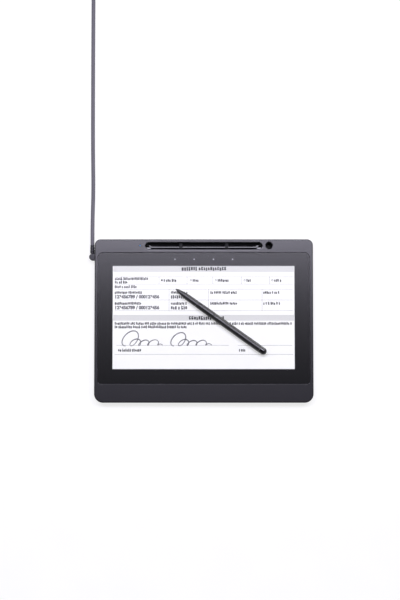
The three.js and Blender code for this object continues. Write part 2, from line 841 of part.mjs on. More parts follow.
piece('main_board', makeMainBoard(), finishes.board);
piece('display_ribbon', makeRibbon(displayRibbonX, displayRibbonWidth, displayRibbonZ), finishes.ribbon);
piece('sensor_ribbon', makeRibbon(sensorRibbonX, sensorRibbonWidth, sensorRibbonZ), finishes.ribbon);

// Status light: a clear stem through the top and its small board
function makeLightGuide() {
  const flangeTop = plateUnderside - seatGap;
  const flangeBottom = plateUnderside - lightFlangeHeight;
  return join(
    post(lightX, trayCentreY, lightFlangeRadius, lightFlangeRadius, flangeBottom, flangeTop, smallRoundSteps),
    post(lightX, trayCentreY, lightRadius, lightRadius, flangeTop - wall / 2, bodyTop, smallRoundSteps),
  );
}

const lightBoardTop = plateUnderside - lightFlangeHeight - 2 * seatGap;
piece('light_guide', makeLightGuide(), finishes.light);
piece('light_board', block(lightX, trayCentreY, lightBoardLength, lightBoardDepth,
  lightBoardTop - lightBoardThickness, lightBoardTop), finishes.board);

// Pen tray: a glossy channel with a flange under the top, a round-cornered bottom and a dished
// finger scoop at each end
const trayOuterWidth = trayWidth - 2 * fitGap;
const trayInnerWidth = trayOuterWidth - 2 * trayWall;
const trayTop = bodyTop - traySink;
const channelBottom = trayTop - trayDepth;

// Underside of the channel's outline: a flat middle between two quarters of an ellipse
function roundedFoot(outline, half, height, drop) {
  const reach = half - trayBottomFlat;
  outline.absellipse(-trayBottomFlat, height, reach, drop, Math.PI, Math.PI * 1.5);
  outline.absellipse(trayBottomFlat, height, reach, drop, Math.PI * 1.5, Math.PI * 2);
}

function channelTool() {
  const half = trayInnerWidth / 2;
  const outline = new THREE.Shape();
  outline.moveTo(-half, trayDepth + overrun);
  outline.lineTo(-half, trayBottomRise);
  roundedFoot(outline, half, trayBottomRise, trayBottomRise);
  outline.lineTo(half, trayDepth + overrun);
  const length = trayLength - 2 * trayScoopLength;
  const sweep = { depth: length, bevelEnabled: false, curveSegments: smallRoundSteps };
  const geometry = new THREE.ExtrudeGeometry(outline, sweep);
  geometry.rotateX(Math.PI / 2);
  geometry.rotateZ(Math.PI / 2);
  geometry.translate(-length / 2, trayCentreY, channelBottom);
  return geometry;
}

function scoopTool(side) {
  const geometry = new THREE.SphereGeometry(1, roundSteps, smallRoundSteps);
  geometry.rotateX(Math.PI / 2);
  geometry.scale(trayScoopLength, trayInnerWidth / 2, trayDepth);
  const x = side * (trayLength / 2 - fitGap - trayWall - trayScoopLength);
  geometry.translate(x, trayCentreY, trayTop);
  return geometry;
}

function makeTray() {
  const flangeTop = plateUnderside - seatGap;
  const length = trayLength - 2 * fitGap;
  const wide = trayOuterWidth + 2 * trayFlange;
  const body = join(
    stadium(0, trayCentreY, length, trayOuterWidth, channelBottom - trayBottom, trayTop),
    stadium(0, trayCentreY, length + 2 * trayFlange, wide, flangeTop - trayFlangeThickness, flangeTop),
  );
  return cut(body, channelTool(), scoopTool(-1), scoopTool(1));
}

// Rubber rest in the tray, dished to the pen's round
function makeRest(x) {
  const half = trayInnerWidth / 2 - fitGap;
  const top = channelBottom + seatGap + restHeight;
  const sideFoot = channelBottom + trayBottomRise;
  const outline = new THREE.Shape();
  roundedFoot(outline, half, sideFoot, trayBottomRise - seatGap);
  outline.lineTo(half, top);
  outline.quadraticCurveTo(0, top - 2 * restDish, -half, top);
  const sweep = { depth: restLength, bevelEnabled: false, curveSegments: smallRoundSteps };
  const geometry = new THREE.ExtrudeGeometry(outline, sweep);
  geometry.rotateX(Math.PI / 2);
  geometry.rotateZ(Math.PI / 2);
  geometry.translate(x - restLength / 2, trayCentreY, 0);
  return geometry;
}

piece('pen_tray', makeTray(), finishes.tray);
piece('tray_rest_left', makeRest(-restPlaceX), finishes.rubber);
piece('tray_rest_right', makeRest(restPlaceX), finishes.rubber);

// Pen socket: a tapering cup that holds the pen upright by its tip
function makePenSocket() {
  const neck = socketMouthRadius - fitGap;
  const flangeTop = plateUnderside - seatGap;
  const bottom = trayTop - socketBoreDepth - socketBottom;
  const body = join(
    post(socketX, trayCentreY, neck, neck, bottom, trayTop),
    post(socketX, trayCentreY, neck + socketFlange, neck + socketFlange,
      flangeTop - trayFlangeThickness, flangeTop),
  );
  const slope = (socketBoreTop - socketBoreBottom) / socketBoreDepth;
  return cut(body, post(socketX, trayCentreY, socketBoreBottom, socketBoreTop + slope * overrun,
    trayTop - socketBoreDepth, trayTop + overrun));
}

piece('pen_socket', makePenSocket(), finishes.tray);

// Cable socket on its own small board inside the left wall
const blockX0 = -innerWallX + fitGap;
function makeCableSocket() {
  const halfWidth = socketBlockWidth / 2;
  const low = plugHeight - socketBlockHeight / 2;
  const body = solid(box(blockX0, blockX0 + socketBlockLength, plugY - halfWidth, plugY + halfWidth,
    low, low + socketBlockHeight));
  const halfNose = noseWidth / 2 + fitGap;
  const halfTall = noseHeight / 2 + fitGap;
  return cut(body, box(blockX0 - overrun, -bodyWidth / 2 + noseLength + fitGap,
    plugY - halfNose, plugY + halfNose, plugHeight - halfTall, plugHeight + halfTall));
}

piece('cable_socket', makeCableSocket(), finishes.tin);
piece('socket_board', block(socketBoardX, plugY, socketBoardLength, socketBoardWidth,
  socketBoardBottom, socketBoardBottom + socketBoardThickness), finishes.board);

// Steel plate behind the security slot
function makeSecurityPlate() {
  const y1 = innerWallY - seatGap;
  const y0 = y1 - slotPlateThickness;
  const plate = solid(box(slotX - slotPlateWidth / 2, slotX + slotPlateWidth / 2, y0, y1,
    slotZ - slotPlateHeight / 2, slotZ + slotPlateHeight / 2));
  return cut(plate, box(slotX - slotWidth / 2, slotX + slotWidth / 2, y0 - overrun, y1 + overrun,
    slotZ - slotHeight / 2, slotZ + slotHeight / 2));
}

piece('security_plate', makeSecurityPlate(), finishes.steel);

// Rubber feet with a small chamfer where they meet the desk
function makeFoot(x, y) {
  const top = footProud + footSink - seatGap;
  const small = footWidth - 2 * footEdge;
  const half = footWidth / 2;
  const rings = [
    roundedRing(footLength - 2 * footEdge, small, small / 2, small / 2, 0, smallCornerSteps),
    roundedRing(footLength, footWidth, half, half, footEdge, smallCornerSteps),
    roundedRing(footLength, footWidth, half, half, top, smallCornerSteps),
  ];
  return loft(rings).translate(x, y, 0);
}

for (const [place, x, y] of footPlaces) piece(`foot_${place}`, makeFoot(x, y), finishes.rubber);

// Fold-out leg: a flat arm with a round eye on its pin, a window and a tongue for its shoe
function makeLeg(x) {
  const halfWidth = legWidth / 2;
  const top = legPivotZ + legEyeRadius - (2 * legEyeRadius - legThickness) / 2;
  const low = top - legThickness;
  const tipY = legPivotY - legLength;
  const shoulderY = tipY + legShoeLength;
  const arm = box(x - halfWidth, x + halfWidth, shoulderY, legPivotY, low, top);
  const eye = rodAlongX(x - halfWidth, x + halfWidth, legPivotY, legPivotZ, legEyeRadius, roundSteps);
  const tongue = box(x - halfWidth + 2 * legShoeWall, x + halfWidth - 2 * legShoeWall,
    shoulderY - legTongueLength, shoulderY + legShoeWall,
    low + legShoeWall + fitGap, top - legShoeWall - fitGap);
  const windowY = (shoulderY + legPivotY - legEyeRadius) / 2;
  const window = roundedBlock(x, windowY, legWindowWidth, legWindowLength, legWindowCorner,
    low - overrun, top + overrun, 3);
  const bore = rodAlongX(x - legWidth, x + legWidth, legPivotY, legPivotZ, legPinRadius + runGap,
    smallRoundSteps);
  return cut(join(arm, eye, tongue), window, bore);
}

// Rubber shoe that covers the leg's tongue
function makeShoe(x) {
  const halfWidth = legWidth / 2;
  const top = legPivotZ + legThickness / 2;
  const low = top - legThickness;
  const tipY = legPivotY - legLength;
  const shoulderY = tipY + legShoeLength - seatGap;
  const round = legThickness;
  const rings = [low, top].map((z) => roundedRing(legWidth, 2 * legShoeLength, round, round, z, 3)
    .map((p) => p.add(new THREE.Vector3(x, shoulderY, 0))));
  const body = cut(solid(loft(rings)), box(x - legWidth, x + legWidth, shoulderY, shoulderY + legLength,
    low - overrun, top + overrun));
  const slotHalf = halfWidth - 2 * legShoeWall + fitGap;
  return cut(body, box(x - slotHalf, x + slotHalf, shoulderY - legTongueLength - fitGap, shoulderY + overrun,
    low + legShoeWall, top - legShoeWall));
}

for (const [side, x] of legPlaces) {
  const pinEnd = pocketHalfWidth + legPinReach - fitGap;
  piece(`${side}_leg`, makeLeg(x), finishes.underside);
  piece(`${side}_leg_shoe`, makeShoe(x), finishes.rubber);
  const pin = rodAlongX(x - pinEnd, x + pinEnd, legPivotY, legPivotZ, legPinRadius, smallRoundSteps);
  piece(`${side}_leg_pin`, pin, finishes.steel);
}

// Brass inserts on the corners of a square
function makeInsert(x, y) {
  const low = footProud + insertSink;
  const body = solid(post(x, y, insertRadius, insertRadius, low, low + insertLength));
  return cut(body, post(x, y, insertBoreRadius, insertBoreRadius,
    low - overrun, low + insertLength + overrun));
}

insertPlaces.forEach(([x, y], i) => piece(`mount_insert_${i + 1}`, makeInsert(x, y), finishes.brass));

// Screws from below that hold the two halves of the housing together
function makeScrew(x, y) {
  const low = footProud + screwHeadSink;
  const headTop = low + screwHeadHeight;
  const body = join(
    post(x, y, screwHeadRadius, screwHeadRadius, low, headTop),
    post(x, y, screwShankRadius, screwShankRadius, headTop - screwHeadHeight / 2, headTop + screwLength,
      smallRoundSteps),
  );
  const reach = screwHeadRadius * screwSlotShare;
  const half = screwSlotWidth / 2;
  const slotTop = low + screwSlotDepth;
  return cut(body, box(x - reach, x + reach, y - half, y + half, low - overrun, slotTop),
    box(x - half, x + half, y - reach, y + reach, low - overrun, slotTop));
}

screwPlaces.forEach(([x, y], i) => piece(`cover_screw_${i + 1}`, makeScrew(x, y), finishes.steel));

// The pen. Its own axis is Y, from the nib's tip towards the round rear end, and the side
// switch faces +Z before the pen is rolled and laid down.
const pen = new THREE.Group();
pen.position.set(penTipX, penTipY, glassTop + penRadius + penRest);
pen.rotation.set(0, penRoll, penTurn - Math.PI / 2, 'ZYX');
pad.add(pen);

function turned(profile, sides = penSteps) {
  return new THREE.LatheGeometry(profile.map(([radius, along]) => new THREE.Vector2(radius, along)), sides);
}

const coneStart = nibProud + fitGap;
const coneEnd = coneStart + coneLength;
const barrelStart = coneEnd + fitGap;
const barrelInner = barrelFrontRadius - penWall;
const nibBore = nibRadius + fitGap;

// Nib: a rod with a round tip that slides in the cone's mouth
function makeNib() {
  const profile = [[0, 0]];
  for (let i = 1; i <= 4; i++) {
    const angle = (i / 4) * (Math.PI / 2);
    profile.push([nibRadius * Math.sin(angle), nibRadius * (1 - Math.cos(angle))]);
  }
  profile.push([nibRadius, nibLength], [0, nibLength]);
  return turned(profile, smallRoundSteps);
}

// Cone: swells from the mouth to nearly the barrel's width, hollow for the nib and the coil
const coneShares = [[0, 0], [0.04, 0.12], [0.16, 0.42], [0.3, 0.68], [0.5, 0.9], [0.75, 0.97], [1, 1]];
function coneRadiusAt(share) {
  return coneMouthRadius + (coneEndRadius - coneMouthRadius) * share;
}
function makeCone() {
  const outside = coneShares.map(([along, swell]) => [coneRadiusAt(swell), coneStart + coneLength * along]);
  const coreRoom = coilCoreRadius + fitGap;
  const coreStart = nibLength + coilCoreGap - fitGap;
  const spigotBore = coneEndRadius - penWall;
  const inside = [
    [spigotBore, coneEnd],
    [spigotBore, coreStart + coilCoreLength * coneTaperShares[1]],
    [coreRoom, coreStart + coilCoreLength * coneTaperShares[0]],
    [coreRoom, coreStart],
    [nibBore, coreStart],
    [nibBore, coneStart],
  ];
  return turned([...outside, ...inside, outside[0]]);
}

// Barrel: a long tube that swells a little towards the rear, with a pocket for the switch
const switchMiddle = switchStart + switchLength / 2;
function barrelRadiusAt(along) {
  if (along < barrelWaistPlace) {
    const share = (along - barrelStart) / (barrelWaistPlace - barrelStart);
    return barrelFrontRadius + (barrelWaistRadius - barrelFrontRadius) * share;
  }
  const share = Math.min(1, (along - barrelWaistPlace) / (capStart - barrelWaistPlace));
  return barrelWaistRadius + (penRadius - barrelWaistRadius) * share;
}

function switchShape(widthGap) {
  return roundedShape(switchWidth + 2 * widthGap, switchLength + 2 * widthGap, switchWidth / 2 + widthGap);
}

function switchTool(widthGap, z0, z1) {
  const shape = switchShape(widthGap);
  const sweep = { depth: z1 - z0, bevelEnabled: false, curveSegments: cornerSteps };
  return new THREE.ExtrudeGeometry(shape, sweep).translate(0, switchMiddle, z0);
}

function makeBarrel() {
  const outside = [barrelStart, switchStart, barrelWaistPlace, (barrelWaistPlace + capStart) / 2, capStart]
    .map((along) => [barrelRadiusAt(along), along]);
  const rearInner = penRadius - penWall - spigotWall / 2;
  const inside = [
    [rearInner, capStart],
    [rearInner, capStart - spigotLength - 2 * fitGap],
    [barrelInner, capStart - spigotLength - 2 * fitGap - penWall],
    [barrelInner, barrelStart],
  ];
  const tube = solid(turned([...outside, ...inside, outside[0]]));
  const floor = solid(switchTool(penWall, barrelFrontRadius - switchDepth - switchFloor, penRadius));
  const skin = solid(turned([[0, barrelStart], ...outside, [0, capStart]]));
  const housing = tube.add(floor.intersect(skin));
  return cut(housing, switchTool(fitGap, barrelFrontRadius - switchDepth, penRadius * 2));
}

// Side switch: a long key with a crowned top and a low waist between its two ends
function makeSwitch() {
  const low = barrelFrontRadius - switchDepth + fitGap + switchProud;
  const body = solid(switchTool(0, low, penRadius * 2));
  const crown = [];
  const steps = 12;
  for (let i = 0; i <= steps; i++) {
    const along = switchStart - overrun + ((switchLength + 2 * overrun) * i) / steps;
    const wave = Math.cos(((along - switchMiddle) / switchLength) * Math.PI * 2);
    const swell = switchProud * (switchSwellShare - switchWaistShare * wave);
    crown.push([barrelRadiusAt(along) + swell, along]);
  }
  const envelope = solid(turned([[0, crown[0][1]], ...crown, [0, crown[steps][1]]]));
  return body.intersect(envelope);
}

// Rear cap: a round end with a spigot that enters the barrel
function makeCap() {
  const start = capStart + fitGap;
  const spigot = penRadius - penWall - spigotWall / 2 - fitGap;
  const bore = spigot - spigotWall;
  const domeStart = penLength - penRadius;
  const profile = [[bore, start - spigotLength], [spigot, start - spigotLength], [spigot, start],
    [penRadius, start]];
  const steps = 7;
  for (let i = 0; i < steps; i++) {
    const angle = (i / steps) * (Math.PI / 2);
    profile.push([penRadius * Math.cos(angle), domeStart + penRadius * Math.sin(angle)]);
  }
  profile.push([0, penLength], [0, start + penWall], [bore, start], [bore, start - spigotLength]);
  return turned(profile);
}

// Coil core behind the nib and the narrow board behind it
function makePenCore() {
  const start = nibLength + coilCoreGap;
  return turned([[0, start], [coilCoreRadius, start], [coilCoreRadius, start + coilCoreLength],
    [0, start + coilCoreLength]], smallRoundSteps);
}

function makePenBoard() {
  const start = nibLength + coilCoreGap + coilCoreLength + fitGap;
  const end = capStart - spigotLength - penBoardRearGap;
  const low = -barrelInner / 2;
  return box(-penBoardWidth / 2, penBoardWidth / 2, start, end, low - penBoardThickness, low);
}

piece('pen_nib', makeNib(), finishes.tray, pen);
piece('pen_cone', makeCone(), finishes.penBody, pen);
piece('pen_barrel', makeBarrel(), finishes.penBody, pen);
piece('pen_switch', makeSwitch(), finishes.penGloss, pen);
piece('pen_cap', makeCap(), finishes.penGloss, pen);
piece('pen_core', makePenCore(), finishes.ferrite, pen);
piece('pen_board', makePenBoard(), finishes.board, pen);

// Angled plug on the cable: a rounded body outside the wall and a nose inside the socket
const plugInnerX = -bodyWidth / 2 - fitGap;
const plugOuterX = plugInnerX - plugReach;
function makePlug() {
  const rings = [];
  const half = plugTall / 2;
  const steps = 3;
  const arcs = [];
  for (let i = 0; i <= steps; i++) {
    const angle = (i / steps) * (Math.PI / 2);
    arcs.push([plugEdge * (1 - Math.sin(angle)), plugEdge * (1 - Math.cos(angle))]);
  }
  const place = (inset, z) => rings.push(plugOutline(inset, z));
  for (const [inset, rise] of arcs) place(inset, plugHeight - half + rise);
  for (const [inset, rise] of arcs.reverse()) place(inset, plugHeight + half - rise);
  return loft(rings);
}

// Seen from above the plug is straight against the wall and round on its outer side
function plugOutline(inset, z) {
  const radius = plugWidth / 2 - inset;
  const centreX = plugOuterX + plugWidth / 2;
  const steps = 12;
  const ring = [];
  for (let i = 0; i <= steps; i++) {
    const angle = Math.PI / 2 + (i / steps) * Math.PI;
    ring.push(new THREE.Vector3(centreX + radius * Math.cos(angle), plugY + radius * Math.sin(angle), z));
  }
  ring.push(new THREE.Vector3(plugInnerX, plugY - radius, z));
  ring.push(new THREE.Vector3(plugInnerX, plugY + radius, z));
  return ring;
}

function makeNose() {
  const x0 = plugInnerX + seatGap;
  const x1 = -bodyWidth / 2 + noseLength;
  const halfWidth = noseWidth / 2;
  const halfTall = noseHeight / 2;
  const body = solid(box(x0, x1, plugY - halfWidth, plugY + halfWidth,
    plugHeight - halfTall, plugHeight + halfTall));
  const bore = box(x0 + noseLength / 2, x1 + overrun,
    plugY - halfWidth + noseWall, plugY + halfWidth - noseWall,
    plugHeight - halfTall + noseWall, plugHeight + halfTall - noseWall);
  const tongue = box(x0 + noseLength / 4, x1 - noseWall, plugY - halfWidth / 2, plugY + halfWidth / 2,
    plugHeight - noseWall, plugHeight + noseWall);
  return cut(body, bore).add(solid(tongue));
}

// Ribbed taper that guards a cord where it leaves a plug, along +Y before it is placed
function reliefProfile(baseRadius, endRadius, length) {
  const profile = [[0, 0]];
  const count = reliefRings * 2;
  for (let i = 0; i <= count; i++) {
    const radius = baseRadius + (endRadius - baseRadius) * (i / count);
    const along = (length * i) / count;
    const bevel = length / count / 6;
    const depth = i % 2 === 1 ? reliefGroove : 0;
    if (i === 0 || i === count) {
      profile.push([radius, along]);
    } else if (depth > 0) {
      profile.push([radius, along - 2 * bevel], [radius - depth, along - bevel],
        [radius - depth, along + bevel], [radius, along + 2 * bevel]);
    }
  }
  profile.push([0, length]);
  return profile;
}

const reliefStartY = plugY + plugWidth / 2 + fitGap;
function makeRelief() {
  const geometry = turned(reliefProfile(reliefBaseRadius, reliefEndRadius, reliefLength), smallRoundSteps);
  return geometry.translate(cordX, reliefStartY, plugHeight);
}

piece('cable_plug', makePlug(), finishes.plug);
piece('plug_nose', makeNose(), finishes.tin);
piece('cable_strain_relief', makeRelief(), finishes.plug);

// The cable runs straight away from the relief, comes down to the desk and goes on to the coil
const cordRadius = cordDiameter / 2;
const cordRest = cordRadius + cordRestGap;
const coilLow = tieThickness + cordRest + fitGap;
const runPoints = [
  [-144.0, 98.1, 9.0], [-144.0, 103.0, 9.0], [-144.05, 109.0, 8.6], [-144.15, 116.0, 7.6],
  [-144.25, 124.0, 6.0], [-144.3, 133.0, 4.3], [-144.25, 143.0, 3.1], [-144.05, 153.0, 2.65],
  [-143.85, 166.0, 2.6], [-143.85, 182.0, 2.6], [-144.1, 200.0, 2.6], [-144.4, 222.0, 2.6],
  [-144.6, 248.0, 2.6], [-144.7, 276.0, 2.6], [-144.75, 304.0, 2.6], [-144.8, 332.0, 2.6],
  [-144.8, 360.0, 2.6], [-144.8, 388.0, 2.6], [-144.8, 412.0, 2.6], [-144.8, 432.0, 2.75],
  [-144.8, 448.0, 3.1], [-144.8, 460.0, 3.6], [-144.8, 470.7, 3.7],
];
const tailPoints = [
  [-99.9, 515.6, 9.3], [-93.0, 515.5, 9.2], [-85.0, 515.2, 8.4], [-76.0, 514.6, 6.9],
  [-67.0, 513.6, 5.3], [-59.0, 512.4, 4.4], [-52.0, 511.2, 4.15], [-45.0, 509.9, 4.1],
];

function tubeAlong(points) {
  const vectors = points.map(([x, y, z]) => new THREE.Vector3(x, y, z));
  const curve = new THREE.CatmullRomCurve3(vectors, false, 'centripetal');
  const section = new THREE.Shape();
  section.absarc(0, 0, cordRadius, 0, Math.PI * 2);
  const steps = Math.max(4, Math.round(curve.getLength() / cordStep));
  return new THREE.ExtrudeGeometry(section, {
    steps,
    extrudePath: curve,
    curveSegments: cordSides / 2,
    bevelEnabled: false,
  });
}

// Coil: one unbroken tube. Its radius falls to the inner radius and grows again at a steady
// rate, and it climbs one layer in the half turn where the spiral reverses.
function coilRadiusAt(turn) {
  const offset = turn - coilTurns / 2;
  return coilInnerRadius + coilPitch * (Math.hypot(offset, coilReversalShare) - coilReversalShare);
}

const runEnd = runPoints[runPoints.length - 1];
const coilCentreX = runEnd[0] + coilRadiusAt(0);
const coilCentreY = runEnd[1] + cordDiameter + fitGap;
function coilPlace(turn) {
  const radius = coilRadiusAt(turn);
  const climb = THREE.MathUtils.smoothstep(turn - coilTurns / 2, -coilClimbShare, coilClimbShare);
  const angle = Math.PI - turn * Math.PI * 2;
  return new THREE.Vector3(coilCentreX + radius * Math.cos(angle), coilCentreY + radius * Math.sin(angle),
    coilLow + coilLayerHeight * climb);
}

function coilLine() {
  const count = Math.round(coilTurns * coilTurnSteps);
  const line = [];
  for (let i = 0; i <= count; i++) line.push(coilPlace((i / count) * coilTurns));
  const start = line[0].clone();
  start.y -= cordDiameter;
  const end = line[count].clone();
  end.x += cordDiameter;
  return [start, ...line, end];
}

function leastSelfGap(line) {
  let least = Infinity;
  for (let i = 0; i < line.length; i++) {
    for (let j = i + coilTurnSteps / 2; j < line.length; j++) {
      least = Math.min(least, line[i].distanceTo(line[j]));
    }
  }
  return least - cordDiameter;
}

function makeCoil() {
  const line = coilLine();
  console.log(`cord_coil least gap to itself: ${leastSelfGap(line).toFixed(2)} mm`);
  const lastIndex = line.length - 1;
  const rings = line.map((point, i) => {
    const along = line[Math.min(i + 1, lastIndex)].clone().sub(line[Math.max(i - 1, 0)]).normalize();
    if (i <= 1) along.set(0, 1, 0);
    if (i >= lastIndex - 1) along.set(1, 0, 0);
    const side = new THREE.Vector3().crossVectors(along, new THREE.Vector3(0, 0, 1)).normalize();
    const up = new THREE.Vector3().crossVectors(side, along);
    const ring = [];
    for (let k = 0; k < coilSides; k++) {
      const angle = Math.PI / 2 - (k / coilSides) * Math.PI * 2;
      const arm = side.clone().multiplyScalar(cordRadius * Math.cos(angle));
      ring.push(arm.addScaledVector(up, cordRadius * Math.sin(angle)).add(point));
    }
    return ring;
  });
  return loft(rings);
}

// Tie: a strap round the turns on the coil's right side
function makeTie() {
  const inner = coilInnerRadius - cordRadius - 2 * tieGap;
  const outer = coilInnerRadius + coilPitch * (coilTurns / 2) - coilPitch / 2 + cordRadius + 2 * tieGap;
  const low = tieThickness;
  const high = coilLow + coilLayerHeight + cordRadius + tieGap;
  const shape = (grow) => {
    const width = outer - inner + 2 * grow;
    const height = high - low + 2 * grow;
    return roundedShape(width, height, cordRadius / 2 + grow);
  };
  const ring = shape(tieThickness);
  ring.holes.push(new THREE.Path(shape(0).getPoints(smallCornerSteps)));
  const sweep = { depth: tieWidth, bevelEnabled: false, curveSegments: smallCornerSteps };
  const geometry = new THREE.ExtrudeGeometry(ring, sweep);
  geometry.rotateX(Math.PI / 2);
  geometry.translate(coilCentreX + (inner + outer) / 2, coilCentreY + tieWidth / 2, (low + high) / 2);
  return geometry;
}

piece('cord_run', tubeAlong(runPoints), finishes.cord);
piece('cord_coil', makeCoil(), finishes.cord);
piece('cord_tail', tubeAlong(tailPoints), finishes.cord);
piece('cord_tie', makeTie(), finishes.rubber);

// The far plug lies flat on the desk, with its own axis along +X before it is turned
const farPlug = new THREE.Group();
const tailEnd = tailPoints[tailPoints.length - 1];
const tailBefore = tailPoints[tailPoints.length - 2];
farPlug.position.set(tailEnd[0], tailEnd[1], tailEnd[2]);
farPlug.rotation.z = Math.atan2(tailEnd[1] - tailBefore[1], tailEnd[0] - tailBefore[0]);
pad.add(farPlug);

const farReliefStart = fitGap;
const farBodyStart = farReliefStart + usbReliefLength + fitGap;
const farShellStart = farBodyStart + usbBodyLength + seatGap;
function makeFarRelief() {
  const profile = reliefProfile(usbReliefEndRadius, usbReliefBaseRadius, usbReliefLength);
  const geometry = turned(profile, smallRoundSteps);
  geometry.rotateZ(-Math.PI / 2);
  return geometry.translate(farReliefStart, 0, 0);
}

function makeFarBody() {
  const ring = (inset, along) => {
    const loop = roundedRing(usbBodyWidth - 2 * inset, usbBodyHeight - 2 * inset, usbBodyEdge, usbBodyEdge, 0,
      smallCornerSteps);
    return loop.map((p) => new THREE.Vector3(along, p.x, p.y));
  };
  return loft([
    ring(usbBodyEdge, farBodyStart),
    ring(usbBodyEdge / 3, farBodyStart + usbBodyEdge),
    ring(0, farBodyStart + 3 * usbBodyEdge),
    ring(0, farBodyStart + usbBodyLength - usbBodyEdge / 2),
    ring(usbBodyEdge / 2, farBodyStart + usbBodyLength),
  ]);
}

function makeFarShell() {
  const x1 = farShellStart + usbShellLength;
  const halfWidth = usbShellWidth / 2;
  const half = usbShellHeight / 2;
  const body = solid(box(farShellStart, x1, -halfWidth, halfWidth, -half, half));
  const bore = box(x1 - usbShellRecess, x1 + overrun, -halfWidth + usbShellWall, halfWidth - usbShellWall,
    -half + usbShellWall + usbTongueHeight, half - usbShellWall);
  const window = usbShellWidth / 5;
  const tools = [bore];
  for (const side of [-1, 1]) {
    const y = (side * usbShellWidth) / 4;
    tools.push(box(x1 - usbShellRecess * usbWindowShares[1], x1 - usbShellRecess * usbWindowShares[0],
      y - window / 2, y + window / 2, 0, half + overrun));
  }
  return cut(body, ...tools);
}

piece('usb_strain_relief', makeFarRelief(), finishes.plug, farPlug);
piece('usb_plug_body', makeFarBody(), finishes.plug, farPlug);
piece('usb_plug_shell', makeFarShell(), finishes.tin, farPlug);

export default pad;
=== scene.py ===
import json
import math

import bmesh
import bpy
import numpy as np
from bpy.props import FloatProperty, FloatVectorProperty, PointerProperty
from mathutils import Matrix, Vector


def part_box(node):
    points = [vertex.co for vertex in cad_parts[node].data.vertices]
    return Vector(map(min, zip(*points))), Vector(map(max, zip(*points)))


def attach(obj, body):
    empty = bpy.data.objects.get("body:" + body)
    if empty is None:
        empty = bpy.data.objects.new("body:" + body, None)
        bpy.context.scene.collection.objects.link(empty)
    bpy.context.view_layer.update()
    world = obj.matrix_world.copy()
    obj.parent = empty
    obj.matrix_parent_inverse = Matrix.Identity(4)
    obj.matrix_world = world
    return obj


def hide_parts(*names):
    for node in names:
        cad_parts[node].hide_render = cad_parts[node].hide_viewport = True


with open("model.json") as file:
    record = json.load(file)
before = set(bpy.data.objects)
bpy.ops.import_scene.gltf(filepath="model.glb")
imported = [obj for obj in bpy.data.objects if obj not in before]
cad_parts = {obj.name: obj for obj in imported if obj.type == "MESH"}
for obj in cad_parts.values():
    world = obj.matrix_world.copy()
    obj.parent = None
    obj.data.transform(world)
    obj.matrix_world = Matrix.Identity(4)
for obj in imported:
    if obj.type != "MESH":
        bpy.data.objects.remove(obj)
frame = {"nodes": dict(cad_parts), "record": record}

bl_info = {
    "name": "Signing pad",
    "version": (1, 0, 0),
    "blender": (4, 5, 0),
    "location": "View3D > Sidebar > Signing pad",
    "description": "Builds a counter-top signing pad with its pen and cable over its fixed frame",
    "category": "Add Mesh",
}

# Sizes below are in millimetres and are turned into metres where a mesh is made
MM = 0.001
PI = math.pi
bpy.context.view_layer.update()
BODY = "pad"
CORNER_STEPS = 12


def span(node):
    """Lowest and highest corner of a CAD node in millimetres."""
    low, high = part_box(node)
    return np.array(low) / MM, np.array(high) / MM


def centred(node):
    """Lowest and highest corner of a CAD node and the middle between them."""
    low, high = span(node)
    return low, high, (low + high) / 2


def nodes_called(start):
    """CAD nodes whose names begin with start."""
    return [node for node in frame["nodes"] if node.startswith(start)]


HOUSING_LOW, HOUSING_HIGH = span("front_housing")
GLASS_LOW, GLASS_HIGH, GLASS_MIDDLE = centred("cover_glass")
TRAY_LOW, TRAY_HIGH, TRAY_MIDDLE = centred("pen_tray")
PLUG_LOW, PLUG_HIGH, PLUG_MIDDLE = centred("cable_plug")

# Heights between which the tray, the pen socket and the light guide are wider, under the far plate
COLLAR_LOW, COLLAR_HIGH = 12.9, 14.1


# Shapes as whole arrays

def outline(width, depth, near, far=None, centre=(0, 0), steps=CORNER_STEPS):
    """Rectangle with round corners, anticlockwise: each corner is its centre plus its radius times
    the cosine and sine of an angle that goes through a quarter turn."""
    far = near if far is None else far
    x, y = width / 2, depth / 2
    middles = np.array([[x - near, near - y], [x - far, y - far], [far - x, y - far], [near - x, near - y]])
    radii = np.array([near, far, far, near])
    angle = (np.arange(4) * PI / 2 - PI / 2)[:, None] + np.linspace(0, PI / 2, steps + 1)[None, :]
    flat = middles[:, None, :] + radii[:, None, None] * np.stack([np.cos(angle), np.sin(angle)], -1)
    return flat.reshape(-1, 2) + np.asarray(centre, float)


def raised(flat, z):
    """A flat outline lifted to the height z."""
    return np.column_stack([flat, np.full(len(flat), float(z))])


def stadium(cx, cy, length, width, grow=0.0, steps=CORNER_STEPS):
    """Long round-ended outline, drawn out on all sides by grow."""
    wide = width + 2 * grow
    return outline(length + 2 * grow, wide, wide / 2, None, (cx, cy), steps)


def quarter(radius, steps=6):
    """A quarter round as (inset, drop) pairs, from the side wall (0, radius) to the top (radius, 0)."""
    angle = np.linspace(0, PI / 2, steps + 1)
    return np.column_stack([radius * (1 - np.cos(angle)), radius * (1 - np.sin(angle))])


def through(points, step):
    """Smooth line through points: cubic pieces whose slope at a point is the weighted mean of the
    slopes of the chords on its two sides, sampled every step along the chords."""
    points = np.asarray(points, float)
    along = np.concatenate([[0], np.cumsum(np.linalg.norm(np.diff(points, axis=0), axis=1))])
    slopes = np.gradient(points, along, axis=0)
    places = np.linspace(0, along[-1], max(2, int(round(along[-1] / step)) + 1))
    i = np.clip(np.searchsorted(along, places, side="right") - 1, 0, len(points) - 2)
    gap = (along[i + 1] - along[i])[:, None]
    t = (places - along[i])[:, None] / gap
    return ((2 * t**3 - 3 * t**2 + 1) * points[i] + (t**3 - 2 * t**2 + t) * gap * slopes[i]
            + (3 * t**2 - 2 * t**3) * points[i + 1] + (t**3 - t**2) * gap * slopes[i + 1])


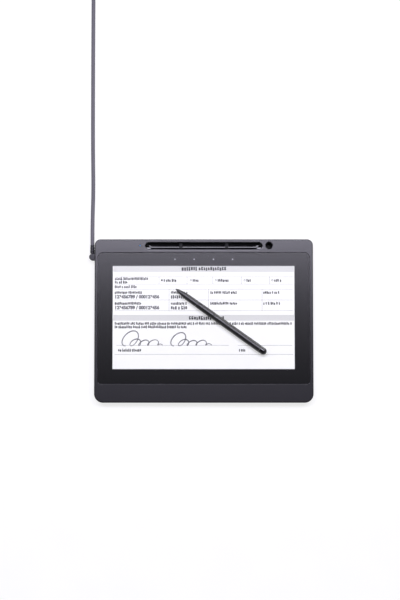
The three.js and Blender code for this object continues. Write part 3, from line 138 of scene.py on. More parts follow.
def turned(profile, sides=48):
    """Profile of (radius, along) pairs spun round its own axis, which becomes +Z."""
    profile = np.asarray(profile, float)
    angle = np.linspace(0, 2 * PI, sides, endpoint=False)
    ring = np.stack([np.cos(angle), np.sin(angle)], -1)
    flat = profile[:, None, 0:1] * ring[None, :, :]
    return np.concatenate([flat, np.broadcast_to(profile[:, None, 1:2], flat.shape[:2] + (1,))], -1)


def standing(profile, x, y, sides=48):
    """A turned shape that stands at (x, y), with its profile's second value as the height."""
    return turned(profile, sides) + np.array([x, y, 0.0])


def along_y(grid):
    """Turns a shape's own axis from +Z to +Y without mirroring it."""
    return np.stack([grid[..., 0], grid[..., 2], -grid[..., 1]], -1)


def swept(line, radius, sides=16):
    """Round tube: each point of the line carries a circle that stands across the line's slope."""
    slope = np.gradient(line, axis=0)
    slope /= np.linalg.norm(slope, axis=1)[:, None]
    side = np.cross(slope, [0.0, 0.0, 1.0])
    side /= np.linalg.norm(side, axis=1)[:, None]
    up = np.cross(side, slope)
    angle = np.linspace(0, 2 * PI, sides, endpoint=False)[None, :, None]
    arm = side[:, None, :] * np.cos(angle) + up[:, None, :] * np.sin(angle)
    return line[:, None, :] + radius * arm


def box_rings(x0, x1, y0, y1, z0, z1):
    """A plain block as two rings of corners, for cutting."""
    flat = np.array([[x0, y0], [x1, y0], [x1, y1], [x0, y1]], float)
    return np.stack([raised(flat, z0), raised(flat, z1)])


# Meshes and pieces

def put(name, data):
    """Object at the origin of the scene."""
    piece = bpy.data.objects.new(name, data)
    bpy.context.scene.collection.objects.link(piece)
    return piece


def grid_faces(rows, columns, wrap_rows, wrap_columns):
    """Four-cornered faces between each point of a grid and its neighbours."""
    r, c = np.meshgrid(np.arange(rows if wrap_rows else rows - 1),
                       np.arange(columns if wrap_columns else columns - 1), indexing="ij")
    r2, c2 = (r + 1) % rows, (c + 1) % columns
    corners = [r * columns + c, r * columns + c2, r2 * columns + c2, r2 * columns + c]
    return np.stack(corners, -1).reshape(-1, 4)


def put_mesh(name, points, faces):
    """Object at the origin, with points in millimetres, merged doubles and outward faces."""
    mesh = bpy.data.meshes.new(name)
    mesh.from_pydata((np.asarray(points, float) * MM).tolist(), [], faces)
    work = bmesh.new()
    work.from_mesh(mesh)
    bmesh.ops.remove_doubles(work, verts=work.verts, dist=1.5e-6)
    bmesh.ops.recalc_face_normals(work, faces=work.faces)
    work.to_mesh(mesh)
    work.free()
    return put(name, mesh)


def skin(name, grid, wrap_rows=False):
    """Closed mesh over a grid whose rows are rings. The first and last rings get a cap unless they
    are poles or joined to each other."""
    rows, columns = grid.shape[:2]
    faces = grid_faces(rows, columns, wrap_rows, True).tolist()
    if not wrap_rows:
        if np.ptp(grid[0], axis=0).max() > 1e-4:
            faces.append(list(range(columns)))
        if np.ptp(grid[-1], axis=0).max() > 1e-4:
            faces.append(list(range((rows - 1) * columns, rows * columns)))
    return put_mesh(name, grid.reshape(-1, 3), faces)


def carved(piece, cutters=(), lumps=()):
    """Adds the lumps to the piece, cuts the cutters out of it, and removes both."""
    for operation, tools in (("UNION", lumps), ("DIFFERENCE", cutters)):
        for tool in tools:
            step = piece.modifiers.new(tool.name, "BOOLEAN")
            step.operation = operation
            step.object = tool
            step.solver = "EXACT"
    graph = bpy.context.evaluated_depsgraph_get()
    mesh = bpy.data.meshes.new_from_object(piece.evaluated_get(graph))
    if len(mesh.polygons) < 4:
        raise RuntimeError(f"{piece.name} lost its faces while it was cut")
    piece.modifiers.clear()
    piece.data = mesh
    for tool in list(cutters) + list(lumps):
        bpy.data.objects.remove(tool)
    return piece


def merged_copy(name, node):
    """New piece from a copy of a CAD node, with doubles merged and flat faces joined."""
    work = bmesh.new()
    work.from_mesh(frame["nodes"][node].data)
    bmesh.ops.remove_doubles(work, verts=work.verts, dist=2e-6)
    bmesh.ops.dissolve_limit(work, angle_limit=math.radians(1), verts=work.verts, edges=work.edges)
    mesh = bpy.data.meshes.new(name)
    work.to_mesh(mesh)
    work.free()
    return put(name, mesh)


def soften(piece, width, angle=40, segments=2):
    """Small bevel on the sharp edges, so that they catch light as moulded edges do."""
    bevel = piece.modifiers.new("edge", "BEVEL")
    bevel.width = width * MM
    bevel.segments = segments
    bevel.limit_method = "ANGLE"
    bevel.angle_limit = math.radians(angle)
    bevel.harden_normals = False


def keep_flat(piece):
    """Large flat faces keep their own normals where a round meets them."""
    piece.modifiers.new("flat faces", "WEIGHTED_NORMAL").keep_sharp = True


def dress(piece, look, body, nodes=(), sharp=32):
    """Gives a piece its finish and its body, and hides the CAD nodes that it stands for."""
    piece.data.shade_smooth()
    piece.data.set_sharp_from_angle(angle=math.radians(sharp))
    piece.data.materials.clear()
    piece.data.materials.append(FINISHES[look])
    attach(piece, body)
    if nodes:
        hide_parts(*nodes)
    return piece


# Finishes

def shade(value):
    """A screen colour written as six hex digits, as linear light."""
    parts = np.array([int(value[i:i + 2], 16) for i in (0, 2, 4)]) / 255
    linear = np.where(parts <= 0.04045, parts / 12.92, ((parts + 0.055) / 1.055) ** 2.4)
    return (*linear.tolist(), 1.0)


class Web:
    """The nodes of a material or world, with short ways to add the ones that are shared."""

    def __init__(self, owner, end="ShaderNodeOutputMaterial"):
        self.owner = owner
        self.owner.use_nodes = True
        self.tree = self.owner.node_tree
        self.tree.nodes.clear()
        self.end = self.add(end)
        self.place = self.add("ShaderNodeTexCoord").outputs

    def add(self, kind, **values):
        """New node of a kind, with its own settings."""
        node = self.tree.nodes.new(kind)
        for key, value in values.items():
            setattr(node, key, value)
        return node

    def join(self, source, target):
        self.tree.links.new(source, target)

    def noise(self, size, detail=2.0, stretch=(1, 1, 1)):
        """Soft noise whose blobs are about size millimetres across."""
        mapping = self.add("ShaderNodeMapping")
        mapping.inputs["Scale"].default_value = stretch
        self.join(self.place["Object"], mapping.inputs["Vector"])
        noise = self.add("ShaderNodeTexNoise")
        noise.inputs["Scale"].default_value = 1 / (size * MM)
        noise.inputs["Detail"].default_value = detail
        self.join(mapping.outputs[0], noise.inputs["Vector"])
        return noise.outputs["Fac"]

    def between(self, value, low, high, start=0.2, end=0.8):
        """Value drawn smoothly from start..end to low..high."""
        node = self.add("ShaderNodeMapRange", interpolation_type="SMOOTHSTEP")
        self.join(value, node.inputs["Value"])
        for name, number in (("From Min", start), ("From Max", end), ("To Min", low), ("To Max", high)):
            node.inputs[name].default_value = number
        return node.outputs["Result"]

    def blend(self, value, first, second):
        """Colour between first and second as value goes from 0 to 1."""
        node = self.add("ShaderNodeMix", data_type="RGBA")
        self.join(value, node.inputs["Factor"])
        node.inputs["A"].default_value = first
        node.inputs["B"].default_value = second
        return node.outputs["Result"]

    def bump(self, value, height):
        """Bump whose full height is given in millimetres."""
        node = self.add("ShaderNodeBump")
        node.inputs["Distance"].default_value = height * MM
        node.inputs["Strength"].default_value = 1.0
        self.join(value, node.inputs["Height"])
        return node.outputs["Normal"]

    def combine(self, operation, *values):
        """Result of a maths node whose inputs are sockets or plain numbers."""
        node = self.add("ShaderNodeMath", operation=operation)
        for value, target in zip(values, node.inputs):
            if isinstance(value, float):
                target.default_value = value
            else:
                self.join(value, target)
        return node.outputs[0]

    def surface(self, shader):
        """Ends the web in a shader and hands back the material or world."""
        self.join(shader, self.end.inputs["Surface"])
        return self.owner


def finish(name, colour, roughness, vary=0.12, spread=0.04, grain=0.35, height=0.01, patch=14.0,
           metallic=0.0, specular=0.5, coat=0.0, coat_roughness=0.1, stretch=(1, 1, 1), detail=2.0):
    """Moulded or metal finish: its colour drifts a little over patches, its gloss varies, and a fine
    grain makes the bump."""
    web = Web(bpy.data.materials.new(name))
    base = np.array(colour[:3])
    wide = web.noise(patch, 3.0)
    fine = web.noise(grain, detail, stretch)
    mixed = web.add("ShaderNodeMix", data_type="FLOAT")
    mixed.inputs["Factor"].default_value = 0.45
    web.join(web.between(wide, 0, 1), mixed.inputs["A"])
    web.join(web.between(fine, 0, 1), mixed.inputs["B"])
    tint = web.blend(mixed.outputs["Result"], (*(base * (1 - vary)), 1), (*(base * (1 + vary)), 1))
    shader = web.add("ShaderNodeBsdfPrincipled")
    web.join(tint, shader.inputs["Base Color"])
    web.join(web.between(wide, roughness - spread, roughness + spread), shader.inputs["Roughness"])
    web.join(web.bump(fine, height), shader.inputs["Normal"])
    shader.inputs["Metallic"].default_value = metallic
    shader.inputs["Specular IOR Level"].default_value = specular
    shader.inputs["Coat Weight"].default_value = coat
    shader.inputs["Coat Roughness"].default_value = coat_roughness
    return web.surface(shader.outputs[0])


def glowing(name, colour, strength, base, roughness=0.5):
    """Lit surface: steady light over a diffuse ground, both of which drift by 3 in 100 over patches
    of 40 mm."""
    web = Web(bpy.data.materials.new(name))
    wide = web.noise(40.0, 1.0)
    shader = web.add("ShaderNodeBsdfPrincipled")
    for tint, socket in ((colour, "Emission Color"), (base, "Base Color")):
        full = np.array(tint)
        web.join(web.blend(web.between(wide, 0, 1), (*(full * 0.97), 1), (*full, 1)), shader.inputs[socket])
    shader.inputs["Emission Strength"].default_value = strength
    web.join(web.between(wide, roughness - 0.03, roughness + 0.03), shader.inputs["Roughness"])
    shader.inputs["Specular IOR Level"].default_value = 0.3
    return web.surface(shader.outputs[0])


def clear_glass(name):
    """Etched cover glass: light passes straight through, and its upper side keeps a soft reflection
    that grows towards a flat view."""
    web = Web(bpy.data.materials.new(name))
    wide = web.noise(30.0, 2.0)
    mirror = web.add("ShaderNodeBsdfGlossy")
    web.join(web.blend(web.between(wide, 0, 1), (0.99, 0.99, 0.99, 1), (1, 1, 1, 1)), mirror.inputs["Color"])
    mirror.inputs["Roughness"].default_value = 0.27
    passing = web.add("ShaderNodeBsdfTransparent")
    fresnel = web.add("ShaderNodeFresnel")
    fresnel.inputs["IOR"].default_value = 1.44
    side = web.add("ShaderNodeNewGeometry")
    front = web.combine("SUBTRACT", 1.0, side.outputs["Backfacing"])
    mix = web.add("ShaderNodeMixShader")
    web.join(web.combine("MULTIPLY", fresnel.outputs[0], front), mix.inputs[0])
    web.join(passing.outputs[0], mix.inputs[1])
    web.join(mirror.outputs[0], mix.inputs[2])
    return web.surface(mix.outputs[0])


def circuit(name, colour):
    """Circuit board lacquer with paler tracks in a fine crossing pattern."""
    web = Web(bpy.data.materials.new(name))
    bricks = web.add("ShaderNodeTexBrick")
    bricks.inputs["Scale"].default_value = 160
    bricks.inputs["Mortar Size"].default_value = 0.015
    bricks.inputs["Color1"].default_value = colour
    bricks.inputs["Color2"].default_value = (*(np.array(colour[:3]) * 1.25), 1)
    bricks.inputs["Mortar"].default_value = (*(np.array(colour[:3]) * 2.2), 1)
    web.join(web.place["Object"], bricks.inputs["Vector"])
    shader = web.add("ShaderNodeBsdfPrincipled")
    web.join(bricks.outputs["Color"], shader.inputs["Base Color"])
    web.join(web.between(web.noise(6.0), 0.3, 0.42), shader.inputs["Roughness"])
    web.join(web.bump(bricks.outputs["Fac"], 0.02), shader.inputs["Normal"])
    return web.surface(shader.outputs[0])


FINISHES = {}


def make_finishes(colours):
    """All finishes by their name. Those named after a record slot also dress its CAD nodes."""
    steel = dict(metallic=1.0, vary=0.06, grain=0.12, stretch=(0.06, 1, 1), height=0.004)
    FINISHES.update({
        "housing": finish("housing_plastic", colours.housing, 0.3, vary=0.05, spread=0.002, grain=0.45,
                          height=0.003, patch=22.0, detail=3.0),
        "underside": finish("underside_plastic", colours.underside, 0.55, grain=0.5, height=0.03, detail=4.0),
        "cover_glass": clear_glass("etched_glass"),
        "border": finish("border_print", (0.0008, 0.0008, 0.001, 1), 0.6, vary=0.05, grain=0.2, height=0.0005,
                         specular=0.0),
        "marks": finish("key_marks", shade("b4b5ba"), 0.6, vary=0.03, grain=0.2, height=0.0005),
        "adhesive": finish("black_adhesive", shade("141416"), 0.8),
        "display": glowing("lit_display", (1, 1, 1), 0.41, (0.61, 0.62, 0.59)),
        "form_band": glowing("form_band", (1, 1, 1), 0.33, (0.385, 0.39, 0.375)),
        "form_rule": glowing("form_rule", (1, 1, 1), 0.09, (0.14, 0.14, 0.14)),
        "form_text": glowing("form_text", (1, 1, 1.05), 0.01, (0.02, 0.02, 0.023)),
        "form_entry": glowing("form_entry", (1, 1, 1.05), 0.05, (0.04, 0.04, 0.045)),
        "form_ink": glowing("form_ink", (1, 1, 1.1), 0.08, (0.05, 0.05, 0.058)),
        "backlight": finish("backlight_frame", shade("c3c6ca"), 0.35, **steel),
        "circuit_board": circuit("board_lacquer", shade("1f5b3a")),
        "steel": finish("bright_steel", shade("a7a9ad"), 0.3, **steel),
        "brass": finish("turned_brass", shade("b59a55"), 0.3, **steel),
        "connector": finish("plated_shell", shade("c3c6ca"), 0.28, **steel),
        "ribbon": finish("amber_film", shade("a8702c"), 0.35, grain=0.8, height=0.004, coat=0.3),
        "status_light": glowing("status_light", (0.10, 0.34, 0.66), 0.55, (0.03, 0.08, 0.2), roughness=0.3),
        "tray": finish("gloss_black", shade("0b0b0d"), 0.055, spread=0.006, grain=1.2, height=0.0002,
                       specular=0.35, coat=0.25, coat_roughness=0.04),
        "hole": finish("deep_black", (0.004, 0.004, 0.0045, 1), 0.6, grain=0.8, height=0.002, specular=0.2),
        "rubber": finish("black_rubber", shade("1c1c1e"), 0.75, grain=0.3, height=0.02),
        "pen_body": finish("pen_satin", colours.pen, 0.38, vary=0.08, spread=0.01, grain=0.25,
                           height=0.002, specular=0.8),
        "pen_gloss": finish("pen_gloss", shade("0e0e11"), 0.12, spread=0.02, grain=0.8, height=0.0008,
                            coat=0.5),
        "ferrite": finish("ferrite", shade("2c2b2a"), 0.7),
        "cord": finish("cord_sheath", colours.cord, 0.6, vary=0.06, grain=0.3, height=0.006, patch=30.0,
                       specular=0.04),
        "plug": finish("plug_plastic", shade("25242a"), 0.5, grain=0.4, height=0.012),
    })


def dress_cad_nodes():
    """Each CAD node gets the finish of its record slot, which shows on the nodes that stay."""
    for row in frame["record"]["subparts"]:
        node = frame["nodes"][row["node"]]
        node.data.materials.clear()
        node.data.materials.append(FINISHES[row["material_slot"]])


# Cord and what is on it

RUN = [
    (-144.0, 97.4, 9.0), (-144.0, 103.0, 9.0), (-144.05, 109.0, 8.6), (-144.15, 116.0, 7.6),
    (-144.25, 124.0, 6.0), (-144.3, 133.0, 4.3), (-144.25, 143.0, 3.1), (-144.05, 153.0, 2.65),
    (-143.85, 166.0, 2.6), (-143.85, 182.0, 2.6), (-144.1, 200.0, 2.6), (-144.4, 222.0, 2.6),
    (-144.6, 248.0, 2.6), (-144.7, 276.0, 2.6), (-144.75, 304.0, 2.6), (-144.8, 332.0, 2.6),
    (-144.8, 360.0, 2.6), (-144.8, 388.0, 2.6), (-144.8, 412.0, 2.6), (-144.8, 432.0, 2.75),
    (-144.8, 448.0, 3.1), (-144.8, 460.0, 3.6), (-144.8, 470.7, 3.7),
]
TAIL = [
    (-99.9, 515.6, 9.3), (-93.0, 515.5, 9.2), (-85.0, 515.2, 8.4), (-76.0, 514.6, 6.9),
    (-67.0, 513.6, 5.3), (-59.0, 512.4, 4.4), (-52.0, 511.2, 4.15), (-45.0, 509.9, 4.1),
]
COIL_TURNS = 7.25
COIL_PITCH = 5.55
COIL_INNER = 20.0
COIL_LAYER = 5.6
COIL_LOW = 3.7
COIL_SOFTNESS = 0.1


def coil_line():
    """Two-layer spiral: the radius falls to its least at half way and grows again, and the line
    climbs one layer in the half turn where it reverses."""
    turn = np.linspace(0, COIL_TURNS, int(COIL_TURNS * 36) + 1)
    offset = turn - COIL_TURNS / 2
    radius = COIL_INNER + COIL_PITCH * (np.hypot(offset, COIL_SOFTNESS) - COIL_SOFTNESS)
    share = np.clip((offset + 0.25) / 0.5, 0, 1)
    angle = PI - turn * 2 * PI
    x = RUN[-1][0] + radius[0] + radius * np.cos(angle)
    y = RUN[-1][1] + 5.3 + radius * np.sin(angle)
    return np.column_stack([x, y, COIL_LOW + COIL_LAYER * share * share * (3 - 2 * share)])


def far_plug_place(grid):
    """A shape made along +X is turned to the tail's last stretch and moved to its end."""
    end, before = np.array(TAIL[-1]), np.array(TAIL[-2])
    angle = math.atan2(end[1] - before[1], end[0] - before[0])
    x = grid[..., 0] * math.cos(angle) - grid[..., 1] * math.sin(angle)
    y = grid[..., 0] * math.sin(angle) + grid[..., 1] * math.cos(angle)
    return np.stack([x, y, grid[..., 2]], -1) + end


def relief_profile(start, base, end, length):
    """Ribbed taper: the radius runs evenly from base to end and dips by a smooth wave at each of
    three rings."""
    rings, groove = 3, 0.35
    along = np.linspace(0, length, 97)
    wave = np.clip(np.cos((along / length * rings - 0.5) * 2 * PI), 0, 1) ** 3
    radius = base + (end - base) * along / length - groove * wave
    body = np.column_stack([radius, start + along])
    first, last = body[0].copy(), body[-1].copy()
    return np.vstack([[0, start], [first[0] - 0.25, start], first + [0, 0.25], body[3:-3],
                      last - [0, 0.25], [last[0] - 0.25, start + length], [0, start + length]])


def make_cord(sizes):
    """Round tube along a smooth line through the run, the coil and the tail, which never lies lower
    than its own radius, with the ribbed reliefs at its ends, the coil's tie and the far plug."""
    line = through(np.vstack([np.array(RUN), coil_line(), np.array(TAIL)]), 2.4)
    radius = sizes.cord_diameter / MM / 2
    line[:, 2] = np.maximum(line[:, 2], radius + 0.05)
    cord = skin("cord", swept(line, radius))
    dress(cord, "cord", "cable", ("cord_run", "cord_coil", "cord_tail"))

    low, high, middle = centred("cable_strain_relief")
    relief = along_y(turned(relief_profile(0, 3.05, 2.75, high[1] - low[1])))
    relief = relief + np.array([middle[0], low[1], RUN[0][2]])
    dress(skin("plug_relief", relief), "plug", "cable", ("cable_strain_relief",))

    far_relief = turned(relief_profile(-0.6, 2.8, 3.4, 11.9))
    far_relief = np.stack([far_relief[..., 2], far_relief[..., 0], far_relief[..., 1]], -1)
    far_relief = dress(skin("far_plug_relief", far_plug_place(far_relief)), "plug", "cable",
                       ("usb_strain_relief",))

    # Flat far plug: each ring is drawn in by its inset, at its place along the plug
    insets = np.array([[1.2, 0], [0.75, 0.2], [0.45, 0.9], [0.2, 2.0], [0, 3.6], [0, 20.3], [0.15, 20.75],
                       [0.6, 21.0]])
    wide, tall, relief_end = 15.6, 8.0, 11.6
    rings = [np.stack([np.full(len(o), relief_end + x), o[:, 0], o[:, 1]], -1)
             for i, x in insets for o in [outline(wide - 2 * i, tall - 2 * i, 1.9)]]
    far_body = dress(skin("far_plug_body", far_plug_place(np.stack(rings))), "plug", "cable",
                     ("usb_plug_body",))
    shell = merged_copy("far_plug_shell", "usb_plug_shell")
    soften(shell, 0.12)
    dress(shell, "connector", "cable", ("usb_plug_shell",))
    tie = merged_copy("coil_tie", "cord_tie")
    soften(tie, 0.25)
    dress(tie, "rubber", "cable", ("cord_tie",), sharp=50)


def make_cable_plug():
    """The plug's plan is a half round against a straight side, carried up with round edges. Its
    outer face is drawn in by 0.5 mm from the solid's, as the photograph shows it."""
    inner, outer = PLUG_HIGH[0], PLUG_LOW[0] + 0.5
    half = (PLUG_HIGH[1] - PLUG_LOW[1]) / 2
    middle = PLUG_MIDDLE[1]
    edge = quarter(1.0)
    levels = np.vstack([np.column_stack([edge[::-1, 0], PLUG_LOW[2] + edge[::-1, 1]]),
                        np.column_stack([edge[:, 0], PLUG_HIGH[2] - edge[:, 1]])])
    angle = PI / 2 + np.linspace(0, PI, 33)
    rings = []
    for inset, z in levels:
        radius = half - inset
        arc = np.column_stack([outer + half + radius * np.cos(angle), middle + radius * np.sin(angle)])
        flat = np.vstack([arc, [inner, middle - radius], [inner, middle + radius]])
        rings.append(raised(flat, z))
    dress(skin("plug_body", np.stack(rings)), "plug", "cable", ("cable_plug",), sharp=40)


# Body

def body_ring(sizes, inset, z):
    """The body's outline, drawn in by inset, at height z."""
    flat = outline(sizes.body_width / MM - 2 * inset, sizes.body_depth / MM - 2 * inset,
                   sizes.near_corner / MM - inset, sizes.far_corner / MM - inset)
    return raised(flat, z)


def glass_outline(grow):
    """The glass's outline, drawn out on all sides by grow. Its far corners are the rounder ones."""
    width, depth = (GLASS_HIGH - GLASS_LOW)[:2]
    return outline(width + 2 * grow, depth + 2 * grow, 4 + grow, 6.5 + grow, (0, GLASS_MIDDLE[1]))


def lock_slot(x):
    """Cutter for the lock slot in the far wall at x: upright round-cornered rings from inside the
    wall to beyond it, which widen into a chamfer at the wall's face."""
    far = HOUSING_HIGH[1]
    return skin("lock_slot", np.stack([
        np.column_stack([flat[:, 0], np.full(len(flat), y), flat[:, 1]])
        for grow, y in ((0, far - 4), (0, far - 0.4), (0.12, far - 0.12), (0.4, far), (0.4, far + 1))
        for flat in [outline(7 + 2 * grow, 3 + 2 * grow, 0.6 + grow, None, (x, 10.5), 5)]]))


def make_front_housing(sizes):
    """Rings from the parting edge up the side, over the round edge, across the top, down into the
    glass recess, through the window and back up and round the inside. The flared mouths of the tray
    and the pen hole, the light's and the plug's holes and the lock slot are then cut out of it."""
    top = HOUSING_HIGH[2]
    gap = sizes.glass_gap / MM
    ledge, plate_low, ceiling, skirt_low, wall = 14.0, 12.8, 14.2, 4.8, 1.8
    panel_low, panel_high = span("display_panel")
    window = outline(*(panel_high - panel_low + 5.2)[:2], 0.6, None, (0, GLASS_MIDDLE[1]))

    def recess(grow, z):
        """The recess's outline, which is the glass's drawn out by its gap, at height z."""
        return raised(glass_outline(grow + gap), z)

    edge = quarter(sizes.top_round / MM, 8)
    rings = [body_ring(sizes, 0.35, HOUSING_LOW[2]), body_ring(sizes, 0, 5.15)]
    rings += [body_ring(sizes, inset, top - drop) for inset, drop in edge]
    rings += [body_ring(sizes, sizes.top_round / MM + 0.5, top), recess(0.3, top), recess(0.12, top - 0.04),
              recess(0, top - 0.2), recess(0, ledge), raised(window, ledge), raised(window, plate_low),
              recess(1.75, plate_low), recess(1.75, ceiling), body_ring(sizes, wall, ceiling),
              body_ring(sizes, wall, skirt_low)]
    body = skin("housing_shell", np.stack(rings), wrap_rows=True)

    # Each mouth flares into the top: steep at first and then ever flatter, as (outwards, down)
    tray_x, tray_y = TRAY_MIDDLE[:2]
    mouth_size = (150.8, 9.4)
    flare = np.array([[0, 0.6], [0.06, 0.4], [0.15, 0.26], [0.3, 0.17], [0.6, 0.11], [1.0, 0.052],
                      [1.4, 0.017], [1.7, 0]]) * (sizes.mouth_round / MM) / 0.6
    lip = flare[-1, 0]

    def tray_ring(grow):
        """The tray's mouth, drawn out by all of grow on its near side, by 8 in 100 of it on its far
        side, and by a share that falls evenly between them."""
        flat = stadium(tray_x, tray_y, *mouth_size)
        share = np.interp(flat[:, 1] - tray_y, [-2, 2], [1, 0.08])[:, None]
        return flat + (stadium(tray_x, tray_y, *mouth_size, grow) - flat) * share

    def mouth(name, ring_at):
        """Cutter whose rings, given by ring_at, rise upright and then widen along the flare."""
        low = [raised(ring_at(0), COLLAR_LOW)]
        rise = [raised(ring_at(inset), top - drop) for inset, drop in flare]
        return skin(name, np.stack(low + rise + [raised(ring_at(lip), top + 1)]))

    socket_x, light_x, slot_x = (
        centred(node)[2][0] for node in ("pen_socket", "light_guide", "security_plate"))
    plug_y, plug_z = PLUG_MIDDLE[1:]
    left = HOUSING_LOW[0]
    light_profile = [(0.85, 13), (0.85, top - 0.1), (1.0, top), (1.0, top + 1)]
    half_y, half_z = 4.6, 2.4
    plug_block = box_rings(left - 1, left + 3, plug_y - half_y, plug_y + half_y,
                           plug_z - half_z, plug_z + half_z)
    carved(body, [
        mouth("tray_mouth", tray_ring),
        mouth("socket_mouth", lambda grow: outline(9 + grow, 9 + grow, 4.5 + grow / 2, None,
                                                   (socket_x, tray_y))),
        skin("light_hole", standing(light_profile, light_x, tray_y, 24)),
        lock_slot(slot_x),
        skin("plug_hole", plug_block),
    ])
    dress(body, "housing", BODY, ("front_housing",), sharp=30)
    keep_flat(body)


def make_rear_cover(sizes):
    """Rings from the flat underside up the curved skirt, over the lip and down to the inner floor,
    then pockets for the legs, feet, inserts and screws."""
    low = span("rear_cover")[0][2]
    angle = np.linspace(0, PI / 2, 13)
    rings = [body_ring(sizes, 4.4, low)]
    rings += [body_ring(sizes, 3.6 - 3.25 * math.sin(a), low + 3.5 * (1 - math.cos(a))) for a in angle]
    rings += [body_ring(sizes, 2.1, 4.7), body_ring(sizes, 2.1, 6.2), body_ring(sizes, 3.1, 6.2),
              body_ring(sizes, 3.1, 3.0)]
    cover = skin("cover_shell", np.stack(rings))
    lumps, cutters = [], []
    below, floor, pocket_top, wall_top = 0.2, 2.1, 6.1, 7.4
    wall_side, wall_near, wall_far = 13.9, 10.3, 1.3
    for side in ("left", "right"):
        pin = centred(f"{side}_leg_pin")[2]
        x, y0, y1 = pin[0], span(f"{side}_leg_shoe")[0][1] - 0.7, pin[1] + 2.5
        walls = box_rings(x - wall_side, x + wall_side, y0 - wall_near, y1 + wall_far, floor, wall_top)
        lumps.append(skin(f"{side}_pocket_walls", walls))
        cutters.append(skin(f"{side}_pocket", np.stack([
            raised(outline(25.2 + 2 * g, y1 - y0 + 2 * g, 0.8 + g, None, (x, (y0 + y1) / 2), 4), z)
            for g, z in ((0.3, below), (0.3, low), (0.08, low + 0.1), (0, low + 0.3), (0, pocket_top))])))
        cutters.append(skin(f"{side}_notch", np.stack([
            raised(outline(16 + 2 * g, 18 + 2 * g, 5.3 + g, None, (x, y0), 8), z)
            for g, z in ((0.5, below), (0.5, low), (0.15, low + 0.15), (0, low + 0.5), (0, pocket_top))])))
    for node in nodes_called("foot_"):
        x, y = centred(node)[2][:2]
        cutters.append(skin(f"{node}_bed", np.stack([
            raised(stadium(x, y, 34.2, 8.2, g, 6), z)
            for g, z in ((0.15, below), (0.15, low), (0, low + 0.15), (0, 2.0))])))
    for start, boss_radius, boss_top, mouth_radius, radius, hole_top in (
            ("mount_insert", 4.4, 8.1, 3.2, 3.0, pocket_top), ("cover_screw", 3.6, 4.1, 2.65, 2.4, 2.8)):
        for node in nodes_called(start):
            x, y = centred(node)[2][:2]
            boss = [(boss_radius, floor), (boss_radius, boss_top)]
            hole = [(mouth_radius, below), (mouth_radius, low), (radius, low + 0.2), (radius, hole_top)]
            lumps.append(skin(f"{node}_boss", standing(boss, x, y, 32)))
            cutters.append(skin(f"{node}_hole", standing(hole, x, y, 32)))
    carved(cover, cutters, lumps)
    dress(cover, "underside", BODY, ("rear_cover",), sharp=30)
    keep_flat(cover)


# Glass and display

def make_glass():
    """Round-cornered sheet with a fine polished edge, with a black print and four key marks below."""
    def ring(inset, z):
        """The glass's outline, drawn in by inset, at height z."""
        return raised(glass_outline(-inset), z)

    edge = quarter(0.25, 4)
    rings = [ring(0.1, GLASS_LOW[2]), ring(0, GLASS_LOW[2] + 0.1)]
    rings += [ring(inset, GLASS_HIGH[2] - drop) for inset, drop in edge]
    sheet = skin("glass_sheet", np.stack(rings))
    dress(sheet, "cover_glass", BODY, ("cover_glass",))
    keep_flat(sheet)

    # Black print on the underside of the glass, open over the picture. It laps over the display's far
    # edge, because the photograph's picture starts that much lower.
    far_lap = 0.55
    view = (DISPLAY[1] - DISPLAY[0], DISPLAY[3] - DISPLAY[2] - far_lap)
    middle = ((DISPLAY[0] + DISPLAY[1]) / 2, (DISPLAY[2] + DISPLAY[3] - far_lap) / 2)
    top = GLASS_LOW[2] - 0.02
    inner = outline(*view, 0.5, None, middle)
    outer = ring(0.3, 0)[:, :2]
    rings = [raised(inner, top), raised(outer, top), raised(outer, top - 0.04), raised(inner, top - 0.04)]
    dress(skin("border_print", np.stack(rings), wrap_rows=True), "border", BODY)

    # Four pale key marks in the print
    key_y = centred("touch_key_strip")[2][1]
    dot = [(0, top + 0.012), (0.7, top + 0.012), (0.8, top), (0.8, top - 0.02), (0, top - 0.02)]
    marks = [standing(dot, key_x, key_y, 20) for key_x in (-37.1, -12.4, 12.4, 37.1)]
    rows, columns = marks[0].shape[:2]
    faces = grid_faces(rows, columns, False, True)
    points = np.concatenate([m.reshape(-1, 3) for m in marks])
    all_faces = np.concatenate([faces + i * rows * columns for i in range(4)])
    dress(put_mesh("key_marks", points, all_faces.tolist()), "marks", BODY)


# Lit picture as (x0, x1, y0, y1), and the height of the display's top, on which its marks lie
DISPLAY = (-117.08, 116.55, -61.9, 71.2)
FORM_Z = 14.1
RULE_WIDTH = 0.35

# The form's layout grid: its first column and row, their places on the display and their spacing
FIRST_COLUMN, FIRST_ROW = 114.8, 265.8
FORM_LEFT, FORM_TOP = -114.36, 71.12
COLUMN_WIDTH, ROW_DEPTH = 1.2845, 1.2855
FIELD_ROWS = (298.6, 309.5)
DIGITS_END = 158.9


def form_x(column):
    """Place across the form, from columns counted along the layout grid."""
    return FORM_LEFT + (column - FIRST_COLUMN) * COLUMN_WIDTH


def form_y(row):
    """Place up the form, from rows counted down the layout grid."""
    return FORM_TOP - (row - FIRST_ROW) * ROW_DEPTH


